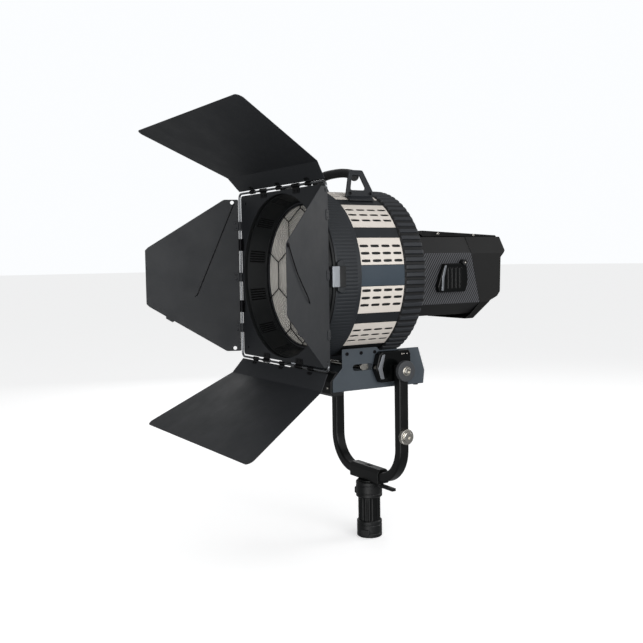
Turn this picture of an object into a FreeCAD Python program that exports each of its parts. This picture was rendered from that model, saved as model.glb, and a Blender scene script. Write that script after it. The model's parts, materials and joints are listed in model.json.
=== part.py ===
"""Large fresnel spotlight: drum with a sliding fresnel lens, plug-in LED head, barn doors, yoke and stand socket.

Millimetres.  Z is up, the light leaves towards -Y, and seen from behind the lamp +X is on the left.  The origin is
the mouth of the stand socket, on its axis.  The optical axis lies axis_height above it.
"""
import FreeCAD, Part

import math
import os

import Sketcher

Vector = FreeCAD.Vector
Rotation = FreeCAD.Rotation

doc = FreeCAD.newDocument("fresnel_spotlight")
sheet = doc.addObject("Spreadsheet::Sheet", "sizes")

SIZES = [
    # stand socket and yoke
    ("axis_height", 700.0), ("pivot_height", 459.0),
    ("socket_radius", 29.5), ("collar_low_radius", 33.5), ("collar_top_radius", 35.0),
    ("collar_low_top", 45.0), ("collar_top_foot", 107.0), ("socket_top", 150.0),
    ("stand_bore_radius", 14.4), ("stand_bore_depth", 75.0),
    ("spigot_radius", 14.0), ("shaft_clearance", 0.05), ("spigot_foot", 82.0), ("running_gap", 0.3),
    ("knob_radius", 16.0), ("knob_screw_radius", 4.0), ("knob_reach", 64.0),
    ("sleeve_half_length", 65.0), ("sleeve_half_width", 18.0), ("sleeve_foot", 153.0), ("sleeve_height", 38.0),
    ("arm_centre", 147.0), ("arm_thick", 24.0), ("arm_width", 29.0), ("arm_wall", 2.5),
    ("bend_radius", 86.0), ("yoke_floor", 172.0), ("arm_solid_drop", 20.0),
    ("pivot_radius", 8.0), ("pivot_head_radius", 11.0), ("disc_radius", 26.5), ("disc_thick", 12.0),
    ("thumb_height", 293.0), ("thumb_radius", 20.0), ("thumb_thick", 12.5),
    # cradle under the drum
    ("cradle_half", 112.0), ("cradle_wall", 3.0), ("cradle_floor_drop", 285.0), ("cradle_top_drop", 181.0),
    ("dock_outer", 133.0), ("window_bolt_radius", 6.0), ("window_back", -92.0), ("window_drop", 229.0),
    # drum
    ("drum_front", -231.5), ("panel_front", -160.0), ("panel_rear", -34.0), ("drum_rear", 24.0),
    ("front_ring_radius", 213.0), ("shell_radius", 208.0), ("panel_radius", 211.0), ("seat_radius", 203.8),
    ("shell_inner", 201.0), ("shroud_radius", 186.0), ("sheet_metal", 1.5),
    ("rod_circle", 192.5), ("rod_radius", 3.0), ("lug_radius", 4.7),
    ("handle_half", 95.0), ("handle_top", 258.0), ("grip_radius", 13.0),
    # zoom drive and lens
    ("zoom_radius", 215.0), ("zoom_rear", 29.8), ("cam_outer", 200.3), ("cam_inner", 198.0),
    ("cam_front", -165.0), ("cam_rear", 5.0), ("zoom_per_degree", 1.25), ("follower_radius", 3.0),
    ("lens_radius", 175.0), ("lens_front", -195.0), ("lens_back", -183.0), ("lens_ring_radius", 183.0),
    ("guard_cell", 118.0), ("guard_wire", 3.0),
    # barn doors
    ("door_plane", -258.5), ("loop_half", 217.0), ("loop_rod_radius", 3.0), ("plate_half", 211.0),
    ("plate_opening", 203.0), ("door_ring_radius", 212.0), ("door_ring_neck", 207.0),
    ("leaf_thick", 1.5), ("leaf_offset", 3.5), ("flange_length", 48.7), ("flange_angle", 24.0),
    ("wide_leaf_reach", 255.0), ("wide_leaf_root", 212.0), ("wide_leaf_bend", 227.0), ("wide_leaf_tip", 290.0),
    ("side_leaf_reach", 252.0), ("side_leaf_root", 203.0), ("side_leaf_tip", 73.0), ("barrel_radius", 5.0),
    ("top_leaf_open", 117.6), ("bottom_leaf_open", 119.5), ("right_leaf_open", 128.0), ("left_leaf_open", 113.0),
    # LED head
    ("head_half", 108.0), ("head_shoulder", 90.0), ("head_belly", 80.0), ("head_top", 94.0), ("head_bottom", 113.0),
    ("head_side_top", 50.0), ("head_side_bottom", 82.0), ("head_front", 34.2), ("head_wall", 2.5),
    ("head_dock_outer", 124.0), ("led_hole", 56.0), ("fan_half", 60.0), ("fan_radius", 52.0),
]
for row, (alias, value) in enumerate(SIZES, start=1):
    sheet.set(f"A{row}", alias)
    sheet.set(f"B{row}", str(value))
    sheet.setAlias(f"B{row}", alias)
doc.recompute()


class Dim:
    """A length from the sheet: its number now, and the expression that keeps it bound."""

    def __init__(self, number, text):
        self.number = number
        self.text = text

    def __add__(self, other):
        return Dim(self.number + number_of(other), f"({self.text} + {text_of(other)})")

    def __radd__(self, other):
        return self + other

    def __sub__(self, other):
        return Dim(self.number - number_of(other), f"({self.text} - {text_of(other)})")

    def __rsub__(self, other):
        return Dim(number_of(other) - self.number, f"({text_of(other)} - {self.text})")

    def __mul__(self, factor):
        return Dim(self.number * factor, f"({self.text} * {factor!r})")

    def __rmul__(self, factor):
        return self * factor

    def __neg__(self):
        return self * -1.0


def number_of(value):
    """The plain number of a Dim or of a number."""
    return value.number if isinstance(value, Dim) else float(value)


def text_of(value):
    """The expression text of a Dim or of a number."""
    return value.text if isinstance(value, Dim) else repr(float(value))


size = {alias: Dim(value, f"sizes.{alias}") for alias, value in SIZES}
AXIS = size["axis_height"]
PIVOT = size["pivot_height"]
GAP = size["running_gap"]
CLEAR = size["shaft_clearance"]
SHEET = size["sheet_metal"]
SEAT = 0.1        # gap between pieces that are fixed to each other
PAST = 1.0        # how far a cutting tool runs past a face
THROUGH = 200.0   # half a cutting tool that goes right across the lamp
SCREW = 5.0       # radius of the thumb screw's and the tilt lever's shank

# Rotations that lay a primitive's own Z along an axis of the row.
ALONG_X = Rotation(Vector(0, 1, 0), 90)
ALONG_Y = Rotation(Vector(1, 0, 0), -90)
ALONG_Z = Rotation()

parts = []
counter = [0]


def fresh(stem):
    """A document name that is not used yet."""
    counter[0] += 1
    return f"{stem}_{counter[0]}"


def bind(thing, **values):
    """Bind properties to sheet expressions; a double underscore stands for a dot."""
    for path, value in values.items():
        thing.setExpression(path.replace("__", "."), text_of(value))
    return thing


def place(thing, x=0.0, y=0.0, z=0.0, turn=ALONG_Z):
    """Turn a piece, and bind its position."""
    thing.Placement = FreeCAD.Placement(Vector(number_of(x), number_of(y), number_of(z)), turn)
    return bind(thing, Placement__Base__x=x, Placement__Base__y=y, Placement__Base__z=z)


def box(x0, x1, y0, y1, z0, z1):
    """A box between two limits on each axis."""
    block = doc.addObject("Part::Box", fresh("box"))
    bind(block, Length=x1 - x0, Width=y1 - y0, Height=z1 - z0)
    return place(block, x0, y0, z0)


def rod(axis, radius, start, end, u=0.0, v=0.0, angle=360.0, first=0.0):
    """A round bar along X, Y or Z between two limits; u and v are its centre on the other two axes."""
    bar = doc.addObject("Part::Cylinder", fresh("rod"))
    bind(bar, Radius=radius, Height=end - start)
    bar.Angle = angle
    turn = {"X": ALONG_X, "Y": ALONG_Y, "Z": ALONG_Z}[axis]
    base = {"X": (start, u, v), "Y": (u, start, v), "Z": (u, v, start)}[axis]
    return place(bar, *base, turn=turn.multiply(Rotation(Vector(0, 0, 1), first)))


def cut(base, *tools):
    """The base with every tool taken away."""
    result = base
    for tool in tools:
        step = doc.addObject("Part::Cut", fresh("cut"))
        step.Base = result
        step.Tool = tool
        result = step
    return result


def fuse(*shapes):
    """All shapes joined into one."""
    result = doc.addObject("Part::MultiFuse", fresh("fuse"))
    result.Shapes = list(shapes)
    result.Refine = True
    return result


def common(first, second):
    """What two shapes share."""
    result = doc.addObject("Part::Common", fresh("common"))
    result.Base = first
    result.Tool = second
    return result


def group(*shapes):
    """Separate solids kept together as one sub-part."""
    result = doc.addObject("Part::Compound", fresh("group"))
    result.Links = list(shapes)
    return result


def mirror_x(shape):
    """The piece on the other side of the lamp."""
    result = doc.addObject("Part::Mirroring", fresh("mirror"))
    result.Source = shape
    result.Normal = Vector(1, 0, 0)
    return result


def both_sides(shape):
    """A piece and its mirror image on the other side."""
    return group(shape, mirror_x(shape))


def tube(axis, outer, inner, start, end, u=0.0, v=0.0):
    """A round tube along an axis."""
    return cut(rod(axis, outer, start, end, u, v), rod(axis, inner, start - PAST, end + PAST, u, v))


def outline(body, plane, points):
    """A closed, fully dimensioned sketch on one of the body's own planes."""
    sketch = body.newObject("Sketcher::SketchObject", fresh("sketch"))
    origin = [item for item in body.Origin.OriginFeatures if item.Role == plane][0]
    sketch.AttachmentSupport = [(origin, "")]
    sketch.MapMode = "FlatFace"
    corners = [Vector(number_of(u), number_of(v), 0) for u, v in points]
    count = len(corners)
    for index in range(count):
        sketch.addGeometry(Part.LineSegment(corners[index], corners[(index + 1) % count]), False)
    for index in range(count):
        sketch.addConstraint(Sketcher.Constraint("Coincident", index, 2, (index + 1) % count, 1))
    for index, pair in enumerate(points):
        for kind, value in zip(("DistanceX", "DistanceY"), pair):
            if number_of(value) == 0.0:
                on_axis = "Vertical" if kind == "DistanceX" else "Horizontal"
                sketch.addConstraint(Sketcher.Constraint(on_axis, -1, 1, index, 1))
                continue
            new = sketch.addConstraint(Sketcher.Constraint(kind, -1, 1, index, 1, number_of(value)))
            if isinstance(value, Dim):
                sketch.setExpression(f"Constraints[{new}]", value.text)
    return sketch


def prism(plane, points, start, end):
    """A sketch padded along the plane's normal: XY along Z, YZ along X, XZ along Y."""
    body = doc.addObject("PartDesign::Body", fresh("body"))
    sketch = outline(body, plane + "_Plane", points)
    pad = body.newObject("PartDesign::Pad", fresh("pad"))
    pad.Profile = sketch
    bind(pad, Length=end - start)
    pad.Reversed = plane == "XZ"
    offset = {"XY": "z", "YZ": "x", "XZ": "y"}[plane]
    place(body, **{offset: start})
    return body


def turned(axis, points, height=0.0):
    """A profile of (radius, distance along the axis) pairs revolved about Y or Z; height lifts it."""
    body = doc.addObject("PartDesign::Body", fresh("body"))
    sketch = outline(body, {"Y": "XY_Plane", "Z": "XZ_Plane"}[axis], points)
    spin = body.newObject("PartDesign::Revolution", fresh("turned"))
    spin.Profile = sketch
    spin.ReferenceAxis = (sketch, ["V_Axis"])
    spin.Angle = 360.0
    place(body, z=height)
    return body


def ring(points):
    """A profile revolved about the optical axis."""
    return turned("Y", points, AXIS)


def sector(outer, inner, y0, y1, first, last):
    """A piece of a cylinder wall about the optical axis, between two angles measured from +X upwards."""
    wall = []
    for radius, grow in ((outer, 0.0), (inner, 1.0)):
        # the bar's own angle runs from +X towards -Z, so the sector starts at minus its last angle
        wall.append(rod("Y", radius, y0 - grow, y1 + grow, 0.0, AXIS, last - first + 2 * grow, -last - grow))
    return cut(*wall)


def finish(shape, label):
    """Name a finished sub-part."""
    shape.Label = label
    parts.append(shape)
    return shape


def polar(radius, degrees):
    """X and Z offsets of a point on a circle about the optical axis."""
    angle = math.radians(degrees)
    return radius * math.cos(angle), radius * math.sin(angle)


def spoke(radius, start, end, y, degrees):
    """A round bar that points away from the optical axis."""
    bar = doc.addObject("Part::Cylinder", fresh("spoke"))
    bind(bar, Radius=radius, Height=end - start)
    x, z = polar(start, degrees)
    return place(bar, x, y, AXIS + z, Rotation(Vector(0, 1, 0), 90 - degrees))


# ---------------------------------------------------------------- stand socket

HIDDEN_SIDE = 148.0  # the lock knobs point this way, seen from above


def side_bar(radius, start, end, z, degrees=HIDDEN_SIDE):
    """A level round bar that points away from the socket's axis."""
    bar = doc.addObject("Part::Cylinder", fresh("bar"))
    bind(bar, Radius=radius, Height=end - start)
    angle = math.radians(degrees)
    turn = Rotation(Vector(0, 0, 1), degrees).multiply(ALONG_X)
    return place(bar, start * math.cos(angle), start * math.sin(angle), z, turn)


def make_socket():
    """Receiver tube with a stand bore below and the yoke's bearing bore above."""
    web = size["stand_bore_depth"]
    web_top = web + 5
    reach = size["knob_reach"]
    tube_profile = [
        (size["stand_bore_radius"], 0.0), (size["socket_radius"], 0.0),
        (size["socket_radius"], size["socket_top"]), (size["spigot_radius"] + CLEAR, size["socket_top"]),
        (size["spigot_radius"] + CLEAR, web_top), (0.0, web_top), (0.0, web), (size["stand_bore_radius"], web),
    ]
    low_knob = size["collar_low_top"] * 0.5
    top_knob = size["collar_top_foot"] + size["knob_radius"]
    hole = size["knob_screw_radius"] + CLEAR
    drills = [side_bar(hole, 0.0, reach, height) for height in (low_knob, top_knob)]
    finish(cut(turned("Z", tube_profile), *drills), "socket_tube")
    low = tube("Z", size["collar_low_radius"], size["socket_radius"] + SEAT, 0.0, size["collar_low_top"])
    top = tube("Z", size["collar_top_radius"], size["socket_radius"] + SEAT, size["collar_top_foot"],
               size["socket_top"])
    low_drill, top_drill = [side_bar(hole, 0.0, reach, height) for height in (low_knob, top_knob)]
    finish(group(cut(low, low_drill), cut(top, top_drill)), "socket_collars")
    head_foot = reach - 20
    for label, z, bore, collar in (
            ("stand_lock_knob", low_knob, size["stand_bore_radius"], size["collar_low_radius"]),
            ("pan_lock_knob", top_knob, size["spigot_radius"], size["collar_top_radius"])):
        screw = side_bar(size["knob_screw_radius"], bore + 1.0, head_foot + 10, z)
        head = side_bar(size["knob_radius"], head_foot, reach, z)
        neck = side_bar(size["knob_radius"] * 0.5, collar + 0.5, head_foot + PAST, z)
        finish(fuse(screw, neck, head), label)


# ---------------------------------------------------------------- yoke

def u_shape(inset):
    """The yoke tube's solid, or with an inset its hollow: two arms, two quarter bends and the floor."""
    half_thick = size["arm_thick"] * 0.5 - inset
    half_width = size["arm_width"] * 0.5 - inset
    bend = size["bend_radius"]
    centre_x = size["arm_centre"] - bend
    centre_z = size["yoke_floor"] + bend
    top = PIVOT - size["arm_solid_drop"] * (1.0 if inset else 0.0)
    pieces = [box(-centre_x, centre_x, -half_width, half_width,
                  size["yoke_floor"] - half_thick, size["yoke_floor"] + half_thick)]
    # a bar along Y starts at +X and turns towards -Z
    for side, first in ((1.0, 0.0), (-1.0, 90.0)):
        arm_x = size["arm_centre"] * side
        pieces.append(box(arm_x - half_thick, arm_x + half_thick, -half_width, half_width, centre_z, top))
        bow = [rod("Y", bend + half_thick, -half_width, half_width, centre_x * side, centre_z, 90.0, first),
               rod("Y", bend - half_thick, -half_width - PAST, half_width + PAST, centre_x * side, centre_z)]
        pieces.append(cut(*bow))
        if not inset:
            pieces.append(rod("X", half_width, arm_x - half_thick, arm_x + half_thick, 0.0, PIVOT))
    return fuse(*pieces)


def make_yoke():
    """Spigot, sleeve, bent tube, and the levers and thumb screw on them."""
    spigot = size["spigot_radius"]
    flange = spigot + 16
    flange_foot = size["socket_top"] + GAP
    finish(turned("Z", [(0.0, size["spigot_foot"]), (spigot, size["spigot_foot"]), (spigot, flange_foot),
                        (flange, flange_foot), (flange, size["sleeve_foot"]),
                        (0.0, size["sleeve_foot"])]), "yoke_spigot")

    half = size["sleeve_half_width"]
    foot = size["sleeve_foot"]
    crown = foot + size["sleeve_height"]
    shoulder, ridge = crown - 10, half - 7
    sleeve = prism("YZ", [(-half, foot), (half, foot), (half, shoulder), (ridge, crown),
                          (-ridge, crown), (-half, shoulder)],
                   -size["sleeve_half_length"], size["sleeve_half_length"])
    slack = 0.2
    passage_half = size["arm_width"] * 0.5 + slack
    passage_rise = size["arm_thick"] * 0.5 + slack
    passage = box(-THROUGH, THROUGH, -passage_half, passage_half,
                  size["yoke_floor"] - passage_rise, size["yoke_floor"] + passage_rise)
    lever_x = size["sleeve_half_length"] - 15
    stud = size["knob_screw_radius"]
    finish(cut(sleeve, passage, rod("Z", stud + CLEAR, foot - PAST, foot + 6, lever_x, 0.0)), "yoke_sleeve")
    lever_top = foot - GAP
    lever_length, lever_half = 62, 6.0
    finish(fuse(rod("Z", stud, lever_top - 2, foot + 5, lever_x, 0.0),
                rod("Z", 8.0, lever_top - 11, lever_top, lever_x, 0.0),
                box(lever_x, lever_x + lever_length, -lever_half, lever_half, lever_top - 10, lever_top - 3)),
           "sleeve_lever")

    thumb_z = size["thumb_height"]
    arm_outer = size["arm_centre"] + size["arm_thick"] * 0.5
    pivot_hole = size["pivot_radius"] + CLEAR
    arms = cut(u_shape(0.0), u_shape(size["arm_wall"]),
               rod("X", pivot_hole, -THROUGH, THROUGH, 0.0, PIVOT),
               rod("X", SCREW + CLEAR, arm_outer - 5, arm_outer + PAST, 0.0, thumb_z))
    finish(arms, "yoke_tube")
    face = arm_outer + GAP
    crest = face + size["thumb_thick"]
    finish(fuse(rod("X", SCREW, arm_outer - 12, face + PAST, 0.0, thumb_z),
                rod("X", size["thumb_radius"], face, crest, 0.0, thumb_z),
                rod("X", size["thumb_radius"] - 7.5, face + PAST, crest + 4, 0.0, thumb_z)),
           "accessory_knob")


def make_tilt():
    """Pivot bolts, friction discs and the lock lever, all on the tilting side."""
    radius = size["pivot_radius"]
    disc_in = size["arm_centre"] + size["arm_thick"] * 0.5 + GAP
    disc_out = disc_in + size["disc_thick"]
    inner = size["cradle_half"] - size["cradle_wall"]
    nut = radius + 4
    nut_end = inner - 8
    near = fuse(rod("X", radius, nut_end + 2, disc_out + PAST, 0.0, PIVOT),
                rod("X", size["pivot_head_radius"], disc_out, disc_out + 6, 0.0, PIVOT),
                rod("X", nut, nut_end, inner - GAP, 0.0, PIVOT))
    socket = rod("X", SCREW + CLEAR, -disc_out - PAST, -disc_out + 20, 0.0, PIVOT)
    far = cut(fuse(rod("X", radius, -disc_out, -nut_end - 2, 0.0, PIVOT),
                   rod("X", nut, GAP - inner, -nut_end, 0.0, PIVOT)), socket)
    finish(group(near, far), "pivot_bolts")
    disc = tube("X", size["disc_radius"], radius + SEAT, disc_in, disc_out, 0.0, PIVOT)
    finish(both_sides(disc), "pivot_discs")
    lever_in = -disc_out - GAP
    lever_length, lever_half = 75.0, 6
    finish(fuse(rod("X", SCREW, lever_in - PAST, -disc_out + 18, 0.0, PIVOT),
                rod("X", size["pivot_head_radius"], lever_in - 18, lever_in, 0.0, PIVOT),
                box(lever_in - 16, lever_in - 6, 0.0, lever_length, PIVOT - lever_half, PIVOT + lever_half)),
           "tilt_lock_lever")


# ---------------------------------------------------------------- cradle

def make_cradle():
    """Folded channel under the drum, with its dock blocks, front block, cross bolt and screws."""
    half = size["cradle_half"]
    wall = size["cradle_wall"]
    floor = AXIS - size["cradle_floor_drop"]
    top = AXIS - size["cradle_top_drop"]
    low_top = top - 9
    toe, heel, brow = -181.0, 98.0, -153.0
    side = [(toe, floor), (heel, floor), (heel + 4, floor + 34), (heel - 16, low_top), (-40.0, low_top),
            (-50.0, top), (brow, top), (brow, floor + 58), (toe, floor + 30)]
    hollow = box(wall - half, half - wall, -THROUGH, THROUGH, floor + wall, AXIS)
    mouth = box(wall - half, half - wall, -THROUGH, brow + 3.5, floor - PAST, AXIS)
    channel = cut(prism("YZ", side, -half, half), hollow, mouth)
    window_z = AXIS - size["window_drop"]
    slot = 8.0
    slot_ends = [size["window_back"] - 22, size["window_back"] + 22]
    for y in slot_ends:
        channel = cut(channel, rod("X", slot, -THROUGH, THROUGH, y, window_z))
    channel = cut(channel, box(-THROUGH, THROUGH, *slot_ends, window_z - slot, window_z + slot),
                  rod("X", size["pivot_radius"] + SEAT, -THROUGH, THROUGH, 0.0, PIVOT))
    finish(channel, "base_cradle")

    dock_side = [(-50.0, floor + 15), (34.0, floor + 15), (42.0, floor + 23), (42.0, floor + 85),
                 (37.0, floor + 93), (-46.0, floor + 93), (-56.0, floor + 85), (-66.0, floor + 49)]
    dock = cut(prism("YZ", dock_side, half + SEAT, size["dock_outer"]),
               rod("X", size["pivot_radius"] + SEAT, half - 5, size["dock_outer"] + 5, 0.0, PIVOT))
    finish(both_sides(dock), "dock_blocks")

    inner = half - wall - GAP
    block_side = [(-150.0, floor + 45), (-150.0, floor - 10), (-176.0, floor - 12), (-186.0, floor - 4),
                  (-186.0, floor + 26), (-172.0, floor + 45)]
    finish(prism("YZ", block_side, -inner, inner), "front_block")

    bolt_r = size["window_bolt_radius"]
    foot_r = bolt_r + 5
    foot_y = size["window_back"] + 8
    foot_end = inner - 9.7
    finish(fuse(rod("X", bolt_r, wall - half, half - wall, size["window_back"], window_z),
                rod("X", foot_r, foot_end, inner, foot_y, window_z),
                rod("X", foot_r, -inner, -foot_end, foot_y, window_z)), "window_bolt")

    heads = []
    for y in (-139.0, -97.0, -56.0):
        heads.append(rod("X", 4.5, half + CLEAR, half + 2, y, top - 12))
    handle_outer = size["handle_half"] + 3
    for y in (-114.0, -54.0):
        heads.append(rod("X", 4.0, handle_outer + CLEAR, handle_outer + 2, y, AXIS + 201))
    finish(group(*[both_sides(head) for head in heads]), "case_screws")


# ---------------------------------------------------------------- drum

FIELD_EDGES = [6.79, 25.27, 32.87, 54.31, 61.90, 83.30]  # badge, panel, bar, panel, bar, panel, bar
DRIVE_ANGLES = (90.0, 210.0, 330.0)
ZOOM_LOW, ZOOM_HIGH = -8.0, 72.0
PIN_Y, PIN_RADIUS = -5.0, 4.0  # the pins that carry the ring's turn to the cam sleeve
PIN_SPARE = 2.5  # degrees of slot beyond the pin's travel


def make_drum():
    """Shell, rings, vent panels, badges, bars, handle, ears, shroud, guide rods and rear plate."""
    front, rear = size["panel_front"], size["panel_rear"]
    shell, inner, seat = size["shell_radius"], size["shell_inner"], size["seat_radius"]
    barrel = ring([(inner, front), (shell, front), (shell, rear), (seat, rear), (seat, size["drum_rear"]),
                   (inner, size["drum_rear"])])
    slots = []
    for angle in DRIVE_ANGLES:
        # turning the drive about +Y carries a pin towards -Z, so angles from +X upwards go down
        slots.append(sector(seat + 2, inner - 2, PIN_Y - PIN_RADIUS - 0.5, PIN_Y + PIN_RADIUS + 0.5,
                            angle - ZOOM_HIGH - PIN_SPARE, angle - ZOOM_LOW + PIN_SPARE))
    finish(cut(barrel, *slots), "drum_shell")

    outer = size["front_ring_radius"]
    nose = size["drum_front"]
    lip = 203.5
    ring_wall, lip_thick = 7, 3.5
    finish(ring([(lip, nose), (outer - 2, nose), (outer, nose + 2), (outer, front - GAP),
                 (outer - ring_wall, front - GAP), (outer - ring_wall, nose + lip_thick),
                 (lip, nose + lip_thick)]), "front_ring")

    skin_in = shell + GAP
    skin = size["panel_radius"]
    skin_front, skin_rear = front + GAP, rear - GAP
    bar_skin = skin - 0.8
    panels, badges, bars = [], [], []
    edge = 0.15  # half the joint between neighbouring skins, in degrees
    for below, fields in ((False, 5), (True, 3)):
        for low in range(fields):
            first, last = FIELD_EDGES[low] + edge, FIELD_EDGES[low + 1] - edge
            if below:
                first, last = -last, -first
            is_panel = low % 2 == 0
            piece = sector(skin if is_panel else bar_skin, skin_in, skin_front, skin_rear, first, last)
            (panels if is_panel else bars).append(both_sides(piece))
    ridge = FIELD_EDGES[-1] + edge
    bars.append(sector(bar_skin, skin_in, skin_front, skin_rear, ridge, 180.0 - ridge))
    badge = FIELD_EDGES[0] - edge
    badges.append(both_sides(sector(skin + 0.2, skin_in, skin_front, skin_rear, -badge, badge)))
    finish(group(*panels), "vent_panels")
    finish(group(*badges), "badge_plates")
    finish(group(*bars), "joint_bars")
    make_handle()
    make_ears()
    make_inside()


def make_handle():
    """Two pierced trapezoid brackets and the arched grip between them."""
    half = size["handle_half"]
    plate_half = 3
    base = AXIS + 190
    top = AXIS + size["handle_top"]
    plate = prism("YZ", [(-126.0, base), (-46.0, base), (-46.0, base + 20), (-76.0, top), (-115.0, top),
                         (-123.0, base + 12)], half - plate_half, half + plate_half)
    window = prism("YZ", [(-112.0, base + 18), (-63.0, base + 18), (-84.0, top - 14), (-108.0, top - 14)],
                   half - 10, half + 10)
    foot_in, foot_out = half + 1, half + 14.5
    foot = prism("XZ", [(foot_in, base), (foot_in, base + 6), (foot_out, base - 4), (foot_out, base - 9)],
                 -122.0, -50.0)
    finish(both_sides(fuse(cut(plate, window), foot)), "handle_brackets")
    radius = size["grip_radius"]
    grip_y = -95.5
    rise = 12.0
    under = top - 24
    reach = half - plate_half - 0.2
    crest = [(-reach, under), (-reach, top - 2), (-reach * 0.6, top + rise * 0.6), (-reach * 0.25, top + rise),
             (reach * 0.25, top + rise), (reach * 0.6, top + rise * 0.6), (reach, top - 2), (reach, under),
             (reach * 0.62, under + rise * 0.8), (reach * 0.25, under + rise), (-reach * 0.25, under + rise),
             (-reach * 0.62, under + rise * 0.8)]
    finish(prism("XZ", crest, grip_y - radius, grip_y + radius), "handle_grip")


def make_ears():
    """Hooks on the drum's nose that hold the barn-door ring, and the spring latch on top."""
    outer = size["front_ring_radius"]
    nose = size["drum_front"]
    ear_half = 24.0
    tip, lip_back, back = nose - 15, nose - 8, nose + 22
    block = box(outer + GAP, outer + 8, tip, back, AXIS - ear_half, AXIS + ear_half)
    lip = box(outer - 5, outer + 4, tip, lip_back, AXIS - ear_half, AXIS + ear_half)
    ear = fuse(block, lip)
    low_block = box(-ear_half, ear_half, tip, back, AXIS - outer - 8, AXIS - outer - GAP)
    low_lip = box(-ear_half, ear_half, tip, lip_back, AXIS - outer - 4, AXIS - outer + 5)
    finish(group(ear, mirror_x(ear), fuse(low_block, low_lip)), "accessory_ears")
    latch_half, tab_half = 16.0, 10.0
    latch_base = AXIS + outer
    latch_back = nose + 14
    finish(fuse(box(-latch_half, latch_half, tip, latch_back, latch_base + 2 * GAP, latch_base + 7),
                box(-latch_half, latch_half, tip, lip_back, latch_base - 4, latch_base + 1),
                box(-tab_half, tab_half, nose + 6, latch_back, latch_base + 6, latch_base + 11)),
           "accessory_latch")


def make_inside():
    """Baffle shroud with lens slots, guide rods, rear plate and the head's mount ring."""
    radius = size["shroud_radius"]
    inner = radius - SHEET
    mouth = radius + 15
    flange = size["shell_inner"] - 1
    mouth_y, flange_y, rear_y = -248.0, -210.0, -45.0
    finish(cut(ring([(inner, flange_y + 10), (mouth - SHEET, mouth_y), (mouth, mouth_y),
                     (radius + 4.5, flange_y - 2), (flange, flange_y - 2), (flange, flange_y),
                     (radius + 3, flange_y), (radius, flange_y + 11.5), (radius, rear_y), (inner, rear_y)]),
               *lug_passages()), "inner_shroud")
    circle = size["rod_circle"]
    rods = []
    for angle in DRIVE_ANGLES:
        x, z = polar(circle, angle)
        rods.append(rod("Y", size["rod_radius"], flange_y, size["drum_rear"], x, AXIS + z))
    finish(group(*rods), "guide_rods")
    rear = size["drum_rear"]
    hole = size["led_hole"]
    finish(ring([(hole + 2, rear), (size["seat_radius"], rear), (size["seat_radius"], rear + 4),
                 (hole + 30, rear + 5), (hole + 2, rear + 5)]), "rear_plate")
    finish(ring([(hole, rear + 5), (hole + 32, rear + 5), (hole + 32, rear + 8), (hole + 24, rear + 10),
                 (hole, rear + 10)]), "head_mount_ring")


def lug_passages():
    """Straight slots in the shroud, one for each lug of the lens ring."""
    tools = []
    half = 7
    first_y, last_y = -206.0, -84.0
    for angle in DRIVE_ANGLES:
        slot = box(size["shroud_radius"] - 8, size["shroud_radius"] + 20, first_y, last_y, AXIS - half, AXIS + half)
        tools.append(about_axis(slot, angle))
    return tools


def about_axis(shape, degrees):
    """A piece built at angle zero, carried round the optical axis."""
    holder = group(shape)
    angle = math.radians(degrees)
    sine, cosine = math.sin(angle), math.cos(angle)
    return place(holder, AXIS * sine, 0.0, AXIS * (1 - cosine), Rotation(Vector(0, 1, 0), -degrees))


# ---------------------------------------------------------------- zoom drive and lens

FOLLOWER_Y = -145.0  # the lens followers at rest


def helical_slot(angle):
    """The tool for one cam slot: a band that climbs to the rear as the angle from +X upwards grows."""
    spare = 3  # degrees of slot beyond the follower's travel
    lead = size["zoom_per_degree"].number
    low = lead * (ZOOM_LOW - spare)
    high = lead * (ZOOM_HIGH + spare)
    radius = size["cam_inner"].number
    steepness = 1.22  # how much longer a level cut across the climbing slot is than the slot is wide
    half = (size["follower_radius"].number + 0.5) * steepness
    helix = Part.makeHelix(lead * 360, high - low, radius, 0, True)
    near, far = radius - 3, radius + 8
    profile = Part.makePolygon([Vector(near, 0, -half), Vector(far, 0, -half), Vector(far, 0, half),
                                Vector(near, 0, half), Vector(near, 0, -half)])
    band = Part.Wire(helix.Edges).makePipeShell([profile], True, True)
    tool = doc.addObject("Part::Feature", fresh("helical_slot"))
    tool.Shape = band
    # the helix starts at angle zero, and its own Z becomes the row's +Y
    start = angle + ZOOM_LOW - spare
    turn = Rotation(Vector(0, 1, 0), -start).multiply(ALONG_Y)
    tool.Placement = FreeCAD.Placement(Vector(0, FOLLOWER_Y + low, AXIS.number), turn)
    return tool


def make_zoom():
    """Ribbed zoom ring with its drive pins, and the cam sleeve that it turns."""
    outer = size["zoom_radius"]
    front = size["panel_rear"] + 0.6
    rear = size["zoom_rear"]
    bore = size["seat_radius"] + 0.4
    root = outer - 2.5
    grip = ring([(bore, front), (outer - 6, front), (root, front + 4), (root, rear - 3),
                 (root - 2, rear), (bore, rear)])
    ribs = [grip]
    rib_count, rib_half = 72, 5.2
    for index in range(rib_count):
        rib = box(outer - 4, outer, front + 3, rear - 2, AXIS - rib_half, AXIS + rib_half)
        ribs.append(about_axis(rib, index * 360.0 / rib_count))
    pins = [spoke(PIN_RADIUS, size["cam_outer"] + SEAT, bore + 3, PIN_Y, angle) for angle in DRIVE_ANGLES]
    finish(fuse(*ribs, *pins), "zoom_ring")
    sleeve = ring([(size["cam_inner"], size["cam_front"]), (size["cam_outer"], size["cam_front"]),
                   (size["cam_outer"], size["cam_rear"]), (size["cam_inner"], size["cam_rear"])])
    finish(cut(sleeve, *[helical_slot(angle) for angle in DRIVE_ANGLES]), "cam_sleeve")


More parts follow.
